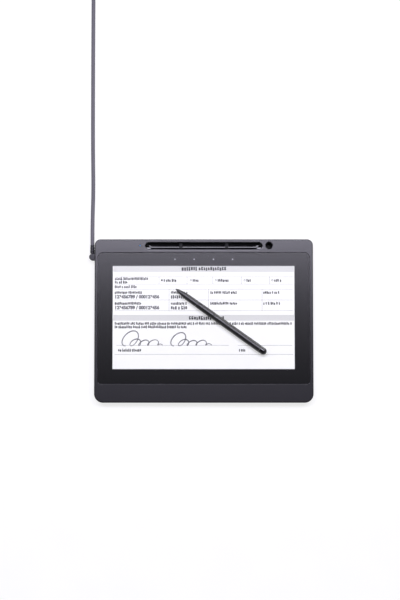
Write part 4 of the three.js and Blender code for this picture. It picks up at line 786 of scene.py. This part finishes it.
def words(seed, x0, x1, y, height, stroke, even=False):
    """Greeked words as rows of (x0, x1, y0, y1): each mark stands two uprights side by side, some of
    them tall, and joins them at its top, middle or foot, with a random gap between words."""
    rng = np.random.RandomState(seed)
    count = int((x1 - x0) / (height * 0.7)) + 6
    wide = rng.uniform(0.5, 0.72, count) * height
    gaps = np.where(rng.rand(count) < 0.17, 0.62, 0.2) * height
    left = x0 + np.concatenate([[0], np.cumsum(wide + gaps)[:-1]])
    right = left + wide
    tall = y + height * np.where((rng.rand(count) < 0.3) & (not even), 1.4, 1.0)
    foot = np.full(count, float(y))
    level = y + height * rng.choice([0.0, 0.5, 1.0], (2, count))
    marks = [np.column_stack([left, left + stroke, foot, tall]),
             np.column_stack([right - stroke, right, foot, y + height * rng.choice([0.5, 1.0], count)])]
    marks += [np.column_stack([left, right, row - stroke * 0.4, row + stroke * 0.4]) for row in level]
    return np.vstack([mark[right < x1] for mark in marks])


def bar_mesh(name, bars, z0, z1):
    """Low blocks, one for each row of (x0, x1, y0, y1)."""
    bars = np.asarray(bars, float)
    x = bars[:, [0, 1, 1, 0]]
    y = bars[:, [2, 2, 3, 3]]
    flat = np.stack([x, y], -1)
    low = np.concatenate([flat, np.full(flat.shape[:2] + (1,), z0)], -1)
    high = np.concatenate([flat, np.full(flat.shape[:2] + (1,), z1)], -1)
    points = np.concatenate([low, high], 1).reshape(-1, 3)
    sides = np.array([[0, 3, 2, 1], [4, 5, 6, 7], [0, 1, 5, 4], [1, 2, 6, 5], [2, 3, 7, 6], [3, 0, 4, 7]])
    faces = (np.arange(len(bars)) * 8)[:, None, None] + sides[None]
    mesh = bpy.data.meshes.new(name)
    mesh.from_pydata((points * MM).tolist(), [], faces.reshape(-1, 4).tolist())
    return put(name, mesh)


def rule(x0, x1, row):
    """Level line of the form, between two columns."""
    y = form_y(row)
    return [form_x(x0), form_x(x1), y - RULE_WIDTH / 2, y + RULE_WIDTH / 2]


def upright(column, row0, row1):
    """Upright line of the form, between two rows."""
    x = form_x(column)
    return [x - RULE_WIDTH / 2, x + RULE_WIDTH / 2, form_y(row1), form_y(row0)]


def make_form():
    """Signing form on the lit display: header bands, rules, check boxes and greeked words, all of
    them low blocks."""
    x0, x1 = DISPLAY[0] + 0.6, DISPLAY[1] - 0.6
    bands = [[x0, x1, form_y(272.2), form_y(265.9)], [x0, x1, form_y(321.0), form_y(315.2)]]
    choices_foot, fields_head, fields_foot, signing_row = 284.4, 289.5, 311.1, 345.7
    rules = [rule(FIRST_COLUMN, 293, row)
             for row in (277.2, choices_foot, fields_head, 300.3, fields_foot, 354.8)]
    rules += [rule(116.7, 229, signing_row), rule(237.8, 292, signing_row)]
    rules += [upright(c, fields_head, fields_foot) for c in (169.0, 208.5, 262.1)]
    rules += [upright(c, 276.9, choices_foot) for c in (159.0, 187.0, 212.8, 241.4, 269.7)]

    text = [words(141, form_x(181.6), form_x(227.3), form_y(270.5), 3.7, 1.75, even=True),
            words(169, form_x(189.0), form_x(224.5), form_y(319.9), 3.7, 1.45, even=True)]
    lines = ((FIRST_COLUMN, 148.8, 280.1), (FIRST_COLUMN, 127.4, 283.5), (FIRST_COLUMN, 136.4, 288.1),
             (FIRST_COLUMN, 291.9, 324.9), (FIRST_COLUMN, 187.4, 328.4), (118.3, 141.6, 351.6),
             (239.0, 245.4, 351.5))
    text += [words(3 + i, form_x(a), form_x(b), form_y(row), 2.4, 1.02)
             for i, (a, b, row) in enumerate(lines)]
    labels = ((FIRST_COLUMN, 142.4), (170.9, 187.8), (210.4, 238.4), (263.4, 280.4))
    text += [words(20 + i + 4 * j, form_x(a), form_x(b), form_y(row), 2.45, 1.12)
             for j, row in enumerate((293.9, 304.8)) for i, (a, b) in enumerate(labels)]
    choices = (161.8, 190.8, 215.8, 244.7, 272.4)
    lengths = (12.5, 6.5, 13.2, 4.8, 7.6)
    text += [words(40 + i, form_x(c) + 2.4, form_x(c + 2 + lengths[i]), form_y(281.9), 2.6, 1.35)
             for i, c in enumerate(choices)]
    boxes = []
    half, thick = 1.1, 0.4
    foot, head = form_y(280.5) - half, form_y(280.5) + half
    for i, c in enumerate(choices):
        left, right = form_x(c) - half, form_x(c) + half
        boxes += [[left, right, foot, foot + thick], [left, right, head - thick, head],
                  [left, left + thick, foot, head], [right - thick, right, foot, head]]
        if i == 0:
            boxes.append([left + 0.2, right - 0.2, foot + 0.2, head - 0.2])
    entries = [words(60 + i, form_x(170.9), form_x(187.2), form_y(row), 3.2, 1.15)
               for i, row in enumerate(FIELD_ROWS)]
    for name, bars, look, level in (
            ("form_bands", bands, "form_band", 1), ("form_rules", rules, "form_rule", 2),
            ("form_words", np.vstack(text + [np.array(boxes)]), "form_text", 3),
            ("form_entries", np.vstack(entries), "form_entry", 3)):
        piece = bar_mesh(name, bars, FORM_Z + 0.004, FORM_Z + 0.008 + 0.006 * level)
        dress(piece, look, BODY)


def make_digits():
    """Plain digits in the two number fields, set as text and then drawn out to their fields' width."""
    for i, row in enumerate(FIELD_ROWS):
        curve = bpy.data.curves.new("digits", "FONT")
        curve.body = "123456789 / 000123456"
        curve.size = 5.8 * MM
        curve.extrude = 0.006 * MM
        curve.offset = 0.34 * MM
        curve.space_character = 1.02
        draft = put("digits", curve)
        graph = bpy.context.evaluated_depsgraph_get()
        mesh = bpy.data.meshes.new_from_object(draft.evaluated_get(graph))
        bpy.data.objects.remove(draft)
        mesh.name = f"form_digits_{i + 1}"
        points = np.empty(len(mesh.vertices) * 3, np.float32)
        mesh.vertices.foreach_get("co", points)
        points = points.reshape(-1, 3)
        points[:, 0] *= (form_x(DIGITS_END) - form_x(FIRST_COLUMN)) * MM / np.ptp(points[:, 0])
        points += np.array([form_x(FIRST_COLUMN) - 0.3, form_y(row), FORM_Z + 0.02]) * MM
        mesh.vertices.foreach_set("co", points.ravel())
        dress(put(mesh.name, mesh), "form_entry", BODY)


def make_scribble():
    """Pen scribble on the signing line, as flat bands: each stroke runs on while it circles, so that
    it makes leaning loops, which are tall at its start and die away into a long tail."""
    strokes = []
    line_y = -32.3
    for start, length, tall, low, loops in ((-100.5, 47, 21.0, 7.0, 4.5), (-38.5, 48, 18.5, 6.5, 4.6)):
        t = np.linspace(0, 1, 360)
        swell = low + (tall - low) * np.exp(-(t / 0.17) ** 2)
        swell *= 1 - np.clip((t - 0.8) / 0.2, 0, 1)
        phase = 2 * PI * loops * t ** 0.8
        y = line_y + swell * (0.5 - 0.5 * np.cos(phase)) + 1.2 * t
        x = start + length * t - 0.42 * swell * np.sin(phase) + 0.45 * (y - line_y)
        strokes.append(np.column_stack([x, y, np.full(len(t), FORM_Z + 0.02)]))
    faces, points, offset = [], [], 0
    for line in strokes:
        slope = np.gradient(line, axis=0)
        slope /= np.linalg.norm(slope, axis=1)[:, None]
        side = np.stack([-slope[:, 1], slope[:, 0], slope[:, 2]], -1)
        width = 0.58 + 0.12 * np.sin(np.linspace(0, 31, len(line)))[:, None]
        lift = np.array([0, 0, 0.012])
        grid = np.stack([line - side * width, line + side * width, line + side * width + lift,
                         line - side * width + lift], 1)
        count = len(line)
        faces += (grid_faces(count, 4, False, True) + offset).tolist()
        faces += [[offset + first + i for i in range(4)] for first in (0, 4 * count - 4)]
        points.append(grid.reshape(-1, 3))
        offset += 4 * count
    dress(put_mesh("form_scribble", np.vstack(points), faces), "form_ink", BODY)


# Tray, rests, socket and light

def make_tray():
    """Round-ended block with a channel and two finger bowls cut into it. The channel's section has
    upright sides, quarter ellipses below them and a flat middle, and at both ends width and depth
    fall off as a quarter of an ellipse, where the near half narrows further. Each bowl is the foot of
    a sphere."""
    x, y = TRAY_MIDDLE[:2]
    top = TRAY_HIGH[2]
    rings = [raised(stadium(x, y, 150.2, 8.8, g), z) for g, z in (
        (-1.5, TRAY_LOW[2]), (0, TRAY_LOW[2] + 1.2), (0, COLLAR_LOW), (1, COLLAR_LOW), (1, COLLAR_HIGH),
        (0, COLLAR_HIGH), (0, top - 0.12), (-0.04, top - 0.03), (-0.12, top))]
    body = skin("tray_body", np.stack(rings))

    half, deep, rise, flat, scoop, straight = 3.8, 5.4, 1.8, 1.64, 7.6, 67.2
    turn = np.linspace(0, PI / 2, 25)
    foot = np.column_stack([flat + (half - flat) * np.cos(turn), -deep + rise * (1 - np.sin(turn))])
    section = np.vstack([[half + 0.12, 0.6], [half + 0.12, 0], [half, -0.12], foot])
    section = np.vstack([section, section[::-1] * [-1, 1]])
    t = np.linspace(-1, 1, 61)
    inside = np.abs(t) < 0.5
    fall = np.clip((np.abs(t) - 0.5) * 2, 0, 1) * PI / 2
    place = np.where(inside, t * 2 * straight, np.sign(t) * (straight + scoop * np.sin(fall)))
    shrink = np.where(inside, 1.0, np.maximum(np.cos(fall), 0.06))
    ease = np.clip((np.abs(place) - straight - 0.3) / 1.8, 0, 1)
    near_share = 1 - 0.62 * ease * ease * (3 - 2 * ease)
    wide = section[None, :, 0] * shrink[:, None]
    depth = section[None, :, 1]
    channel = np.empty((len(t), len(section), 3))
    channel[..., 0] = x + place[:, None]
    channel[..., 1] = y + np.where(wide < 0, wide * near_share[:, None], wide)
    channel[..., 2] = top + np.where(depth < 0, depth * shrink[:, None], depth)

    bowl_radius, bowl_depth, bowl_reach = 14, 0.6, 5
    reach = np.linspace(0, bowl_reach, 13)
    bowl = np.column_stack([reach, top - bowl_depth + bowl_radius - np.sqrt(bowl_radius**2 - reach**2)])
    bowl = np.vstack([bowl, [[bowl_reach, top + 2], [0, top + 2]]])
    bowls = [skin(f"finger_bowl_{side:+d}", standing(bowl, x + side * 71.3, y - 2.4, 64)) for side in (-1, 1)]
    carved(body, [skin("tray_channel", channel), *bowls])
    dress(body, "tray", BODY, ("pen_tray",), sharp=14)
    for side in ("left", "right"):
        rest = merged_copy(f"{side}_pen_rest", f"tray_rest_{side}")
        soften(rest, 0.22, angle=30, segments=3)
        dress(rest, "rubber", BODY, (f"tray_rest_{side}",), sharp=40)


def make_socket_and_light():
    """The upright pen hole and the status light are both turned shapes."""
    low, high, (x, y, _) = centred("pen_socket")
    top = high[2]
    outer = [(0, low[2]), (3.6, low[2]), (4.2, low[2] + 0.6), (4.2, COLLAR_LOW), (5.1, COLLAR_LOW),
             (5.1, COLLAR_HIGH), (4.2, COLLAR_HIGH)]
    rim = [(4.2 - inset, top - drop) for inset, drop in quarter(0.35, 5) * 0.4]
    bore = [(4.05, top), (3.94, top - 0.06), (3.85, top - 0.18), (3.8, top - 0.4), (2.95, top - 10.6),
            (2.5, top - 11.2), (0, top - 11.3)]
    dress(skin("pen_hole_cup", standing(outer + rim + bore, x, y, 64)), "hole", BODY, ("pen_socket",))

    low, high, (x, y, _) = centred("light_guide")
    top = high[2]
    profile = [(0, low[2]), (1.8, low[2]), (1.8, COLLAR_HIGH), (0.75, COLLAR_HIGH), (0.75, top - 0.25),
               (0.62, top - 0.1), (0.35, top - 0.02), (0, top)]
    dress(skin("status_lamp", standing(profile, x, y, 32)), "status_light", BODY,
          ("light_guide",), sharp=45)


# Pen

PEN_TIP = np.array([-36.1, 40.7, 20.8])
PEN_TURN = math.radians(-35.5) - PI / 2
PEN_ROLL = math.radians(-14)
CAP_START = 132.0
PEN_LENGTH = 142.0
CAP_RADIUS = 4.6
SWITCH_MIDDLE = 48


def pen_place(grid):
    """A shape with its axis along +Y and its switch on +Z is rolled about Y, turned about Z and
    moved so that its origin is the nib's tip."""
    c, s = math.cos(PEN_ROLL), math.sin(PEN_ROLL)
    x, y, z = grid[..., 0] * c + grid[..., 2] * s, grid[..., 1], grid[..., 2] * c - grid[..., 0] * s
    c, s = math.cos(PEN_TURN), math.sin(PEN_TURN)
    return np.stack([x * c - y * s, x * s + y * c, z], -1) + PEN_TIP


def pen_radius(along):
    """The barrel's radius: it grows to the waist and on to the cap."""
    return np.interp(along, [33.3, 58, CAP_START], [4.2, 4.42, CAP_RADIUS])


def pen_piece(name, profile, sides=64):
    """A profile of (radius, along) pairs turned round the pen's axis."""
    return skin(name, pen_place(along_y(turned(profile, sides))))


def make_pen():
    """Nib, cone, barrel and cap are turned shapes, and the switch is a long key whose rings step in
    and up over the barrel's round."""
    arc = np.linspace(0, PI / 2, 7)
    nib = np.column_stack([0.75 * np.sin(arc), 0.75 * (1 - np.cos(arc))])
    nib = np.vstack([nib, [0.75, 11], [0, 11]])
    dress(pen_piece("nib", nib, 32), "tray", "nib", ("pen_nib",))

    shares = np.array([[0, 0], [0.04, 0.12], [0.16, 0.42], [0.3, 0.68], [0.5, 0.9], [0.75, 0.97], [1, 1]])
    outside = through(np.column_stack([1.25 + 2.9 * shares[:, 1], 2.0 + 31 * shares[:, 0]]), 0.7)
    outside[:, 0] = np.minimum(outside[:, 0], 4.15)
    cone = np.vstack([[0, 6], [1.05, 6], [1.05, 2.15], [1.12, 2.02], outside[1:-1], [4.12, 32.95],
                      [3.95, 33.05], [3.0, 33.05], [0, 33.0]])
    dress(pen_piece("cone", cone), "pen_body", "pen", ("pen_cone",), sharp=40)

    along = np.linspace(33.6, CAP_START - 0.15, 60)
    barrel = np.column_stack([pen_radius(along), along])
    barrel = np.vstack([[0, 33.3], [4.0, 33.3], [4.12, 33.38], barrel, [4.5, CAP_START], [0, CAP_START]])
    barrel = pen_piece("barrel", barrel)
    pocket = np.stack([raised(outline(5.2 + 2 * g, 24.6 + 2 * g, 2.6 + g, None, (0, SWITCH_MIDDLE)), z)
                       for g, z in ((0, 2.0), (0, 6.0))])
    carved(barrel, [skin("switch_pocket", pen_place(pocket))])
    dress(barrel, "pen_body", "pen", ("pen_barrel",), sharp=30)

    rings = []
    for inset, rise in ((0, -1.9), (0, -0.35), (0.06, -0.12), (0.2, 0.0), (0.5, 0.06), (1.0, 0.09),
                        (1.6, 0.1), (2.2, 0.1)):
        flat = outline(4.6 - 2 * inset, 24 - 2 * inset, 2.3 - inset, None, (0, SWITCH_MIDDLE))
        wave = np.cos((flat[:, 1] - SWITCH_MIDDLE) / 24 * 2 * PI)
        swell = 0.34 * (0.5 - 0.45 * wave) + rise
        z = np.sqrt(np.maximum((pen_radius(flat[:, 1]) + swell) ** 2 - flat[:, 0] ** 2, 0.01))
        rings.append(np.column_stack([flat, z]))
    dress(skin("side_switch", pen_place(np.stack(rings))), "pen_body", "side_switch",
          ("pen_switch",), sharp=50)

    dome = np.linspace(0, PI / 2, 20)
    cap = np.vstack([[0, CAP_START + 0.3], [4.45, CAP_START + 0.3], [4.57, CAP_START + 0.38],
                     np.column_stack([CAP_RADIUS * np.cos(dome),
                                      PEN_LENGTH - CAP_RADIUS + CAP_RADIUS * np.sin(dome)])])
    dress(pen_piece("cap", cap), "pen_gloss", "pen", ("pen_cap",), sharp=40)


# Underside

def make_feet():
    """Stadium rings with a small round where the foot meets the desk."""
    for node in nodes_called("foot_"):
        low, high, (x, y, _) = centred(node)
        edge = quarter(0.4, 5)[::-1]
        rings = [raised(stadium(x, y, 34, 8, -inset, 10), low[2] + drop) for inset, drop in edge]
        rings.append(raised(stadium(x, y, 34, 8, 0, 10), high[2]))
        dress(skin(node.replace("foot", "rubber_foot"), np.stack(rings)), "rubber", BODY, (node,))


def make_legs():
    """The fold-out legs and their shoes keep the shape of their solids, with softened edges."""
    for side in ("left", "right"):
        stand = f"{side}_stand"
        for name, node, look, width in (
                (f"{stand}_leg", f"{side}_leg", "underside", 0.3),
                (f"{stand}_shoe", f"{side}_leg_shoe", "rubber", 0.35)):
            piece = merged_copy(name, node)
            soften(piece, width)
            dress(piece, look, stand, (node,), sharp=35)


def make_fasteners():
    """Inserts are turned rings with a chamfered bore, and screw heads have a cross cut into them."""
    for node in nodes_called("mount_insert"):
        low, high, (x, y, _) = centred(node)
        profile = [(1.65, high[2]), (1.65, low[2] + 0.4), (2.0, low[2]), (2.75, low[2]),
                   (2.9, low[2] + 0.15), (2.9, high[2])]
        ring = skin(node.replace("mount_insert", "brass_insert"), standing(profile, x, y), wrap_rows=True)
        dress(ring, "brass", BODY, (node,))
    for node in nodes_called("cover_screw"):
        low, high, (x, y, _) = centred(node)
        head = [(0, low[2]), (1.9, low[2]), (2.15, low[2] + 0.08), (2.3, low[2] + 0.3),
                (2.3, low[2] + 1.1), (1.1, low[2] + 1.1), (1.1, high[2]), (0, high[2])]
        screw = skin(node.replace("cover_screw", "housing_screw"), standing(head, x, y))
        cross = [skin(f"{node}_cut_{i}", box_rings(x - a, x + a, y - b, y + b, low[2] - 1, low[2] + 0.55))
                 for i, (a, b) in enumerate(((1.5, 0.33), (0.33, 1.5)))]
        carved(screw, cross)
        dress(screw, "steel", BODY, (node,))


# Camera, floor and light

def make_camera():
    """The photograph's own view: from high above the near part of the pad, leaning slightly."""
    data = bpy.data.cameras.new("view")
    data.sensor_fit = "VERTICAL"
    data.sensor_height = 36
    data.lens = 69.35
    data.clip_start = 0.01
    data.clip_end = 50
    camera = put("view", data)
    camera.location = (-0.0049, -0.0531, 1.4978)
    camera.rotation_euler = (math.radians(3.08), 0, 0)
    bpy.context.scene.camera = camera


def make_stage():
    """White floor that keeps the shadow, and the lights."""
    reach = 4000
    corners = [(-reach, -reach, -0.02), (reach, -reach, -0.02), (reach, reach, -0.02), (-reach, reach, -0.02)]
    floor = put_mesh("floor", corners, [[0, 1, 2, 3]])
    web = Web(bpy.data.materials.new("white_floor"))
    paper = web.add("ShaderNodeBsdfPrincipled")
    grain = web.between(web.noise(60.0, 3.0), 0, 1)
    web.join(web.blend(grain, (0.27, 0.27, 0.27, 1), (0.29, 0.29, 0.29, 1)), paper.inputs["Base Color"])
    paper.inputs["Roughness"].default_value = 0.9
    paper.inputs["Specular IOR Level"].default_value = 0.1

    # Most of the floor's white is its own light, for the rays that look at it
    path = web.add("ShaderNodeLightPath").outputs
    seen = web.combine("MAXIMUM", path["Is Camera Ray"], path["Is Glossy Ray"])
    seen = web.combine("MAXIMUM", seen, path["Is Transmission Ray"])
    glow = web.add("ShaderNodeEmission")
    web.join(web.combine("MULTIPLY", seen, 0.78), glow.inputs["Strength"])
    both = web.add("ShaderNodeAddShader")
    web.join(paper.outputs[0], both.inputs[0])
    web.join(glow.outputs[0], both.inputs[1])
    floor.data.materials.append(web.surface(both.outputs[0]))
    make_lights()
    bpy.context.scene.view_settings.view_transform = "Standard"


def make_lights():
    """A wide soft lamp high beyond the far side, and a world that is dim overhead, a little lighter
    near the horizon, and has one tall glow at the far right. The camera sees it as plain white."""
    world = bpy.data.worlds.new("studio")
    bpy.context.scene.world = world
    web = Web(world, "ShaderNodeOutputWorld")
    split = web.add("ShaderNodeSeparateXYZ")
    web.join(web.place["Generated"], split.inputs[0])
    height = split.outputs["Z"]
    level = web.add("ShaderNodeCombineXYZ")
    for axis in "XY":
        web.join(split.outputs[axis], level.inputs[axis])
    heading = web.add("ShaderNodeVectorMath", operation="NORMALIZE")
    web.join(level.outputs[0], heading.inputs[0])
    facing = web.add("ShaderNodeVectorMath", operation="DOT_PRODUCT")
    web.join(heading.outputs[0], facing.inputs[0])
    facing.inputs[1].default_value = (0.58, 0.81, 0)
    studio = web.between(height, 0.4, 0.03, 0.25, 0.8)
    glow_fall = web.between(height, 1.0, 0.0, 0.0, 0.62)
    glow = web.between(facing.outputs["Value"], 0.0, 5.4, 0.9, 1.0)
    strength = web.add("ShaderNodeMix", data_type="FLOAT")
    web.join(web.add("ShaderNodeLightPath").outputs["Is Camera Ray"], strength.inputs["Factor"])
    web.join(web.combine("MULTIPLY_ADD", glow_fall, glow, studio), strength.inputs["A"])
    strength.inputs["B"].default_value = 1.0
    back = web.add("ShaderNodeBackground")
    back.inputs["Color"].default_value = (1, 1, 1, 1)
    web.join(strength.outputs["Result"], back.inputs["Strength"])
    web.surface(back.outputs[0])

    data = bpy.data.lights.new("far_lamp", "AREA")
    data.shape = "RECTANGLE"
    data.size, data.size_y = 1.6, 0.4
    data.energy = 22.8
    data.color = (1.0, 0.97, 1.15)
    lamp = put("far_lamp", data)
    lamp.location = (0.0, 0.467, 1.416)
    lamp.rotation_euler = (0, 0, -PI)
    lamp.visible_camera = False


# The add-on's settings, steps and panel

def length(name, text, millimetres):
    """Size setting, given in millimetres."""
    return FloatProperty(name=name, description=text, default=millimetres * MM, min=0.0, unit="LENGTH",
                         precision=5)


def colour(name, text, value):
    """Colour setting, given as linear light."""
    return FloatVectorProperty(name=name, description=text, default=value, size=4, min=0.0, max=1.0,
                               subtype="COLOR")


class PadSizes(bpy.types.PropertyGroup):
    """Sizes of the visible pieces."""

    body_width: length("Body width", "From side to side", float(HOUSING_HIGH[0] - HOUSING_LOW[0]))
    body_depth: length("Body depth", "From the near to the far side", float(HOUSING_HIGH[1] - HOUSING_LOW[1]))
    near_corner: length("Near corner", "Radius of the two near corners", 11.5)
    far_corner: length("Far corner", "Radius of the two far corners", 7.5)
    top_round: length("Top edge round", "Radius of the body's upper edge", 1.4)
    glass_gap: length("Glass gap", "Gap between the glass and the housing", 0.35)
    mouth_round: length("Mouth round", "Round of the edges of the tray and the pen hole", 0.6)
    cord_diameter: length("Cord diameter", "Thickness of the cord", 5.0)


class PadColours(bpy.types.PropertyGroup):
    """Colours of the visible pieces."""

    housing: colour("Housing", "Satin plastic of the upper shell", (0.0144, 0.0138, 0.0171, 1))
    underside: colour("Underside", "Grained plastic of the lower shell", (0.045, 0.043, 0.052, 1))
    pen: colour("Pen", "Satin barrel of the pen", (0.0012, 0.0011, 0.0016, 1))
    cord: colour("Cord", "Sheath of the cord", (0.162, 0.158, 0.176, 1))


class PAD_OT_camera(bpy.types.Operator):
    """Sets the camera to the photograph's view"""

    bl_idname = "pad.camera"
    bl_label = "Camera"

    def execute(self, context):
        make_camera()
        return {"FINISHED"}


class PAD_OT_finishes(bpy.types.Operator):
    """Makes all finishes and dresses the CAD nodes that stay"""

    bl_idname = "pad.finishes"
    bl_label = "Finishes"

    def execute(self, context):
        make_finishes(context.scene.pad_colours)
        dress_cad_nodes()
        return {"FINISHED"}


class PAD_OT_cord(bpy.types.Operator):
    """Makes the cord with its coil, reliefs and plugs"""

    bl_idname = "pad.cord"
    bl_label = "Cord and plugs"

    def execute(self, context):
        make_cord(context.scene.pad_sizes)
        make_cable_plug()
        return {"FINISHED"}


class PAD_OT_housing(bpy.types.Operator):
    """Makes the front housing and the rear cover"""

    bl_idname = "pad.housing"
    bl_label = "Housing"

    def execute(self, context):
        make_front_housing(context.scene.pad_sizes)
        make_rear_cover(context.scene.pad_sizes)
        return {"FINISHED"}


class PAD_OT_glass(bpy.types.Operator):
    """Makes the cover glass with its printed border and key marks"""

    bl_idname = "pad.glass"
    bl_label = "Cover glass"

    def execute(self, context):
        make_glass()
        return {"FINISHED"}


class PAD_OT_form(bpy.types.Operator):
    """Draws the signing form on the display"""

    bl_idname = "pad.form"
    bl_label = "Form"

    def execute(self, context):
        make_form()
        make_digits()
        make_scribble()
        return {"FINISHED"}


class PAD_OT_tray(bpy.types.Operator):
    """Makes the pen tray, its rests, the upright pen hole and the status light"""

    bl_idname = "pad.tray"
    bl_label = "Tray, pen hole and light"

    def execute(self, context):
        make_tray()
        make_socket_and_light()
        return {"FINISHED"}


class PAD_OT_pen(bpy.types.Operator):
    """Makes the pen"""

    bl_idname = "pad.pen"
    bl_label = "Pen"

    def execute(self, context):
        make_pen()
        return {"FINISHED"}


class PAD_OT_underside(bpy.types.Operator):
    """Makes the feet, legs, inserts and screws"""

    bl_idname = "pad.underside"
    bl_label = "Underside"

    def execute(self, context):
        make_feet()
        make_legs()
        make_fasteners()
        return {"FINISHED"}


class PAD_OT_stage(bpy.types.Operator):
    """Makes the floor, the studio and the lamp, and sets the view transform"""

    bl_idname = "pad.stage"
    bl_label = "Stage"

    def execute(self, context):
        make_stage()
        return {"FINISHED"}


STEPS = (PAD_OT_camera, PAD_OT_finishes, PAD_OT_cord, PAD_OT_housing, PAD_OT_glass, PAD_OT_form,
         PAD_OT_tray, PAD_OT_pen, PAD_OT_underside, PAD_OT_stage)


class PAD_PT_panel(bpy.types.Panel):
    """Lists the sizes, colours and steps of the pad"""

    bl_idname = "PAD_PT_panel"
    bl_label = "Signing pad"
    bl_space_type = "VIEW_3D"
    bl_region_type = "UI"
    bl_category = "Signing pad"

    def draw(self, context):
        for group in (context.scene.pad_sizes, context.scene.pad_colours):
            column = self.layout.column()
            for key in group.__annotations__:
                column.prop(group, key)
        for step in STEPS:
            self.layout.operator(step.bl_idname)


CLASSES = (PadSizes, PadColours, *STEPS, PAD_PT_panel)


def register():
    for item in CLASSES:
        bpy.utils.register_class(item)
    bpy.types.Scene.pad_sizes = PointerProperty(type=PadSizes)
    bpy.types.Scene.pad_colours = PointerProperty(type=PadColours)


def unregister():
    del bpy.types.Scene.pad_sizes
    del bpy.types.Scene.pad_colours
    for item in reversed(CLASSES):
        bpy.utils.unregister_class(item)


def main():
    """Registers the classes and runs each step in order."""
    register()
    for step in STEPS:
        getattr(bpy.ops.pad, step.bl_idname.split(".")[1])()


if __name__ == "__main__":
    main()
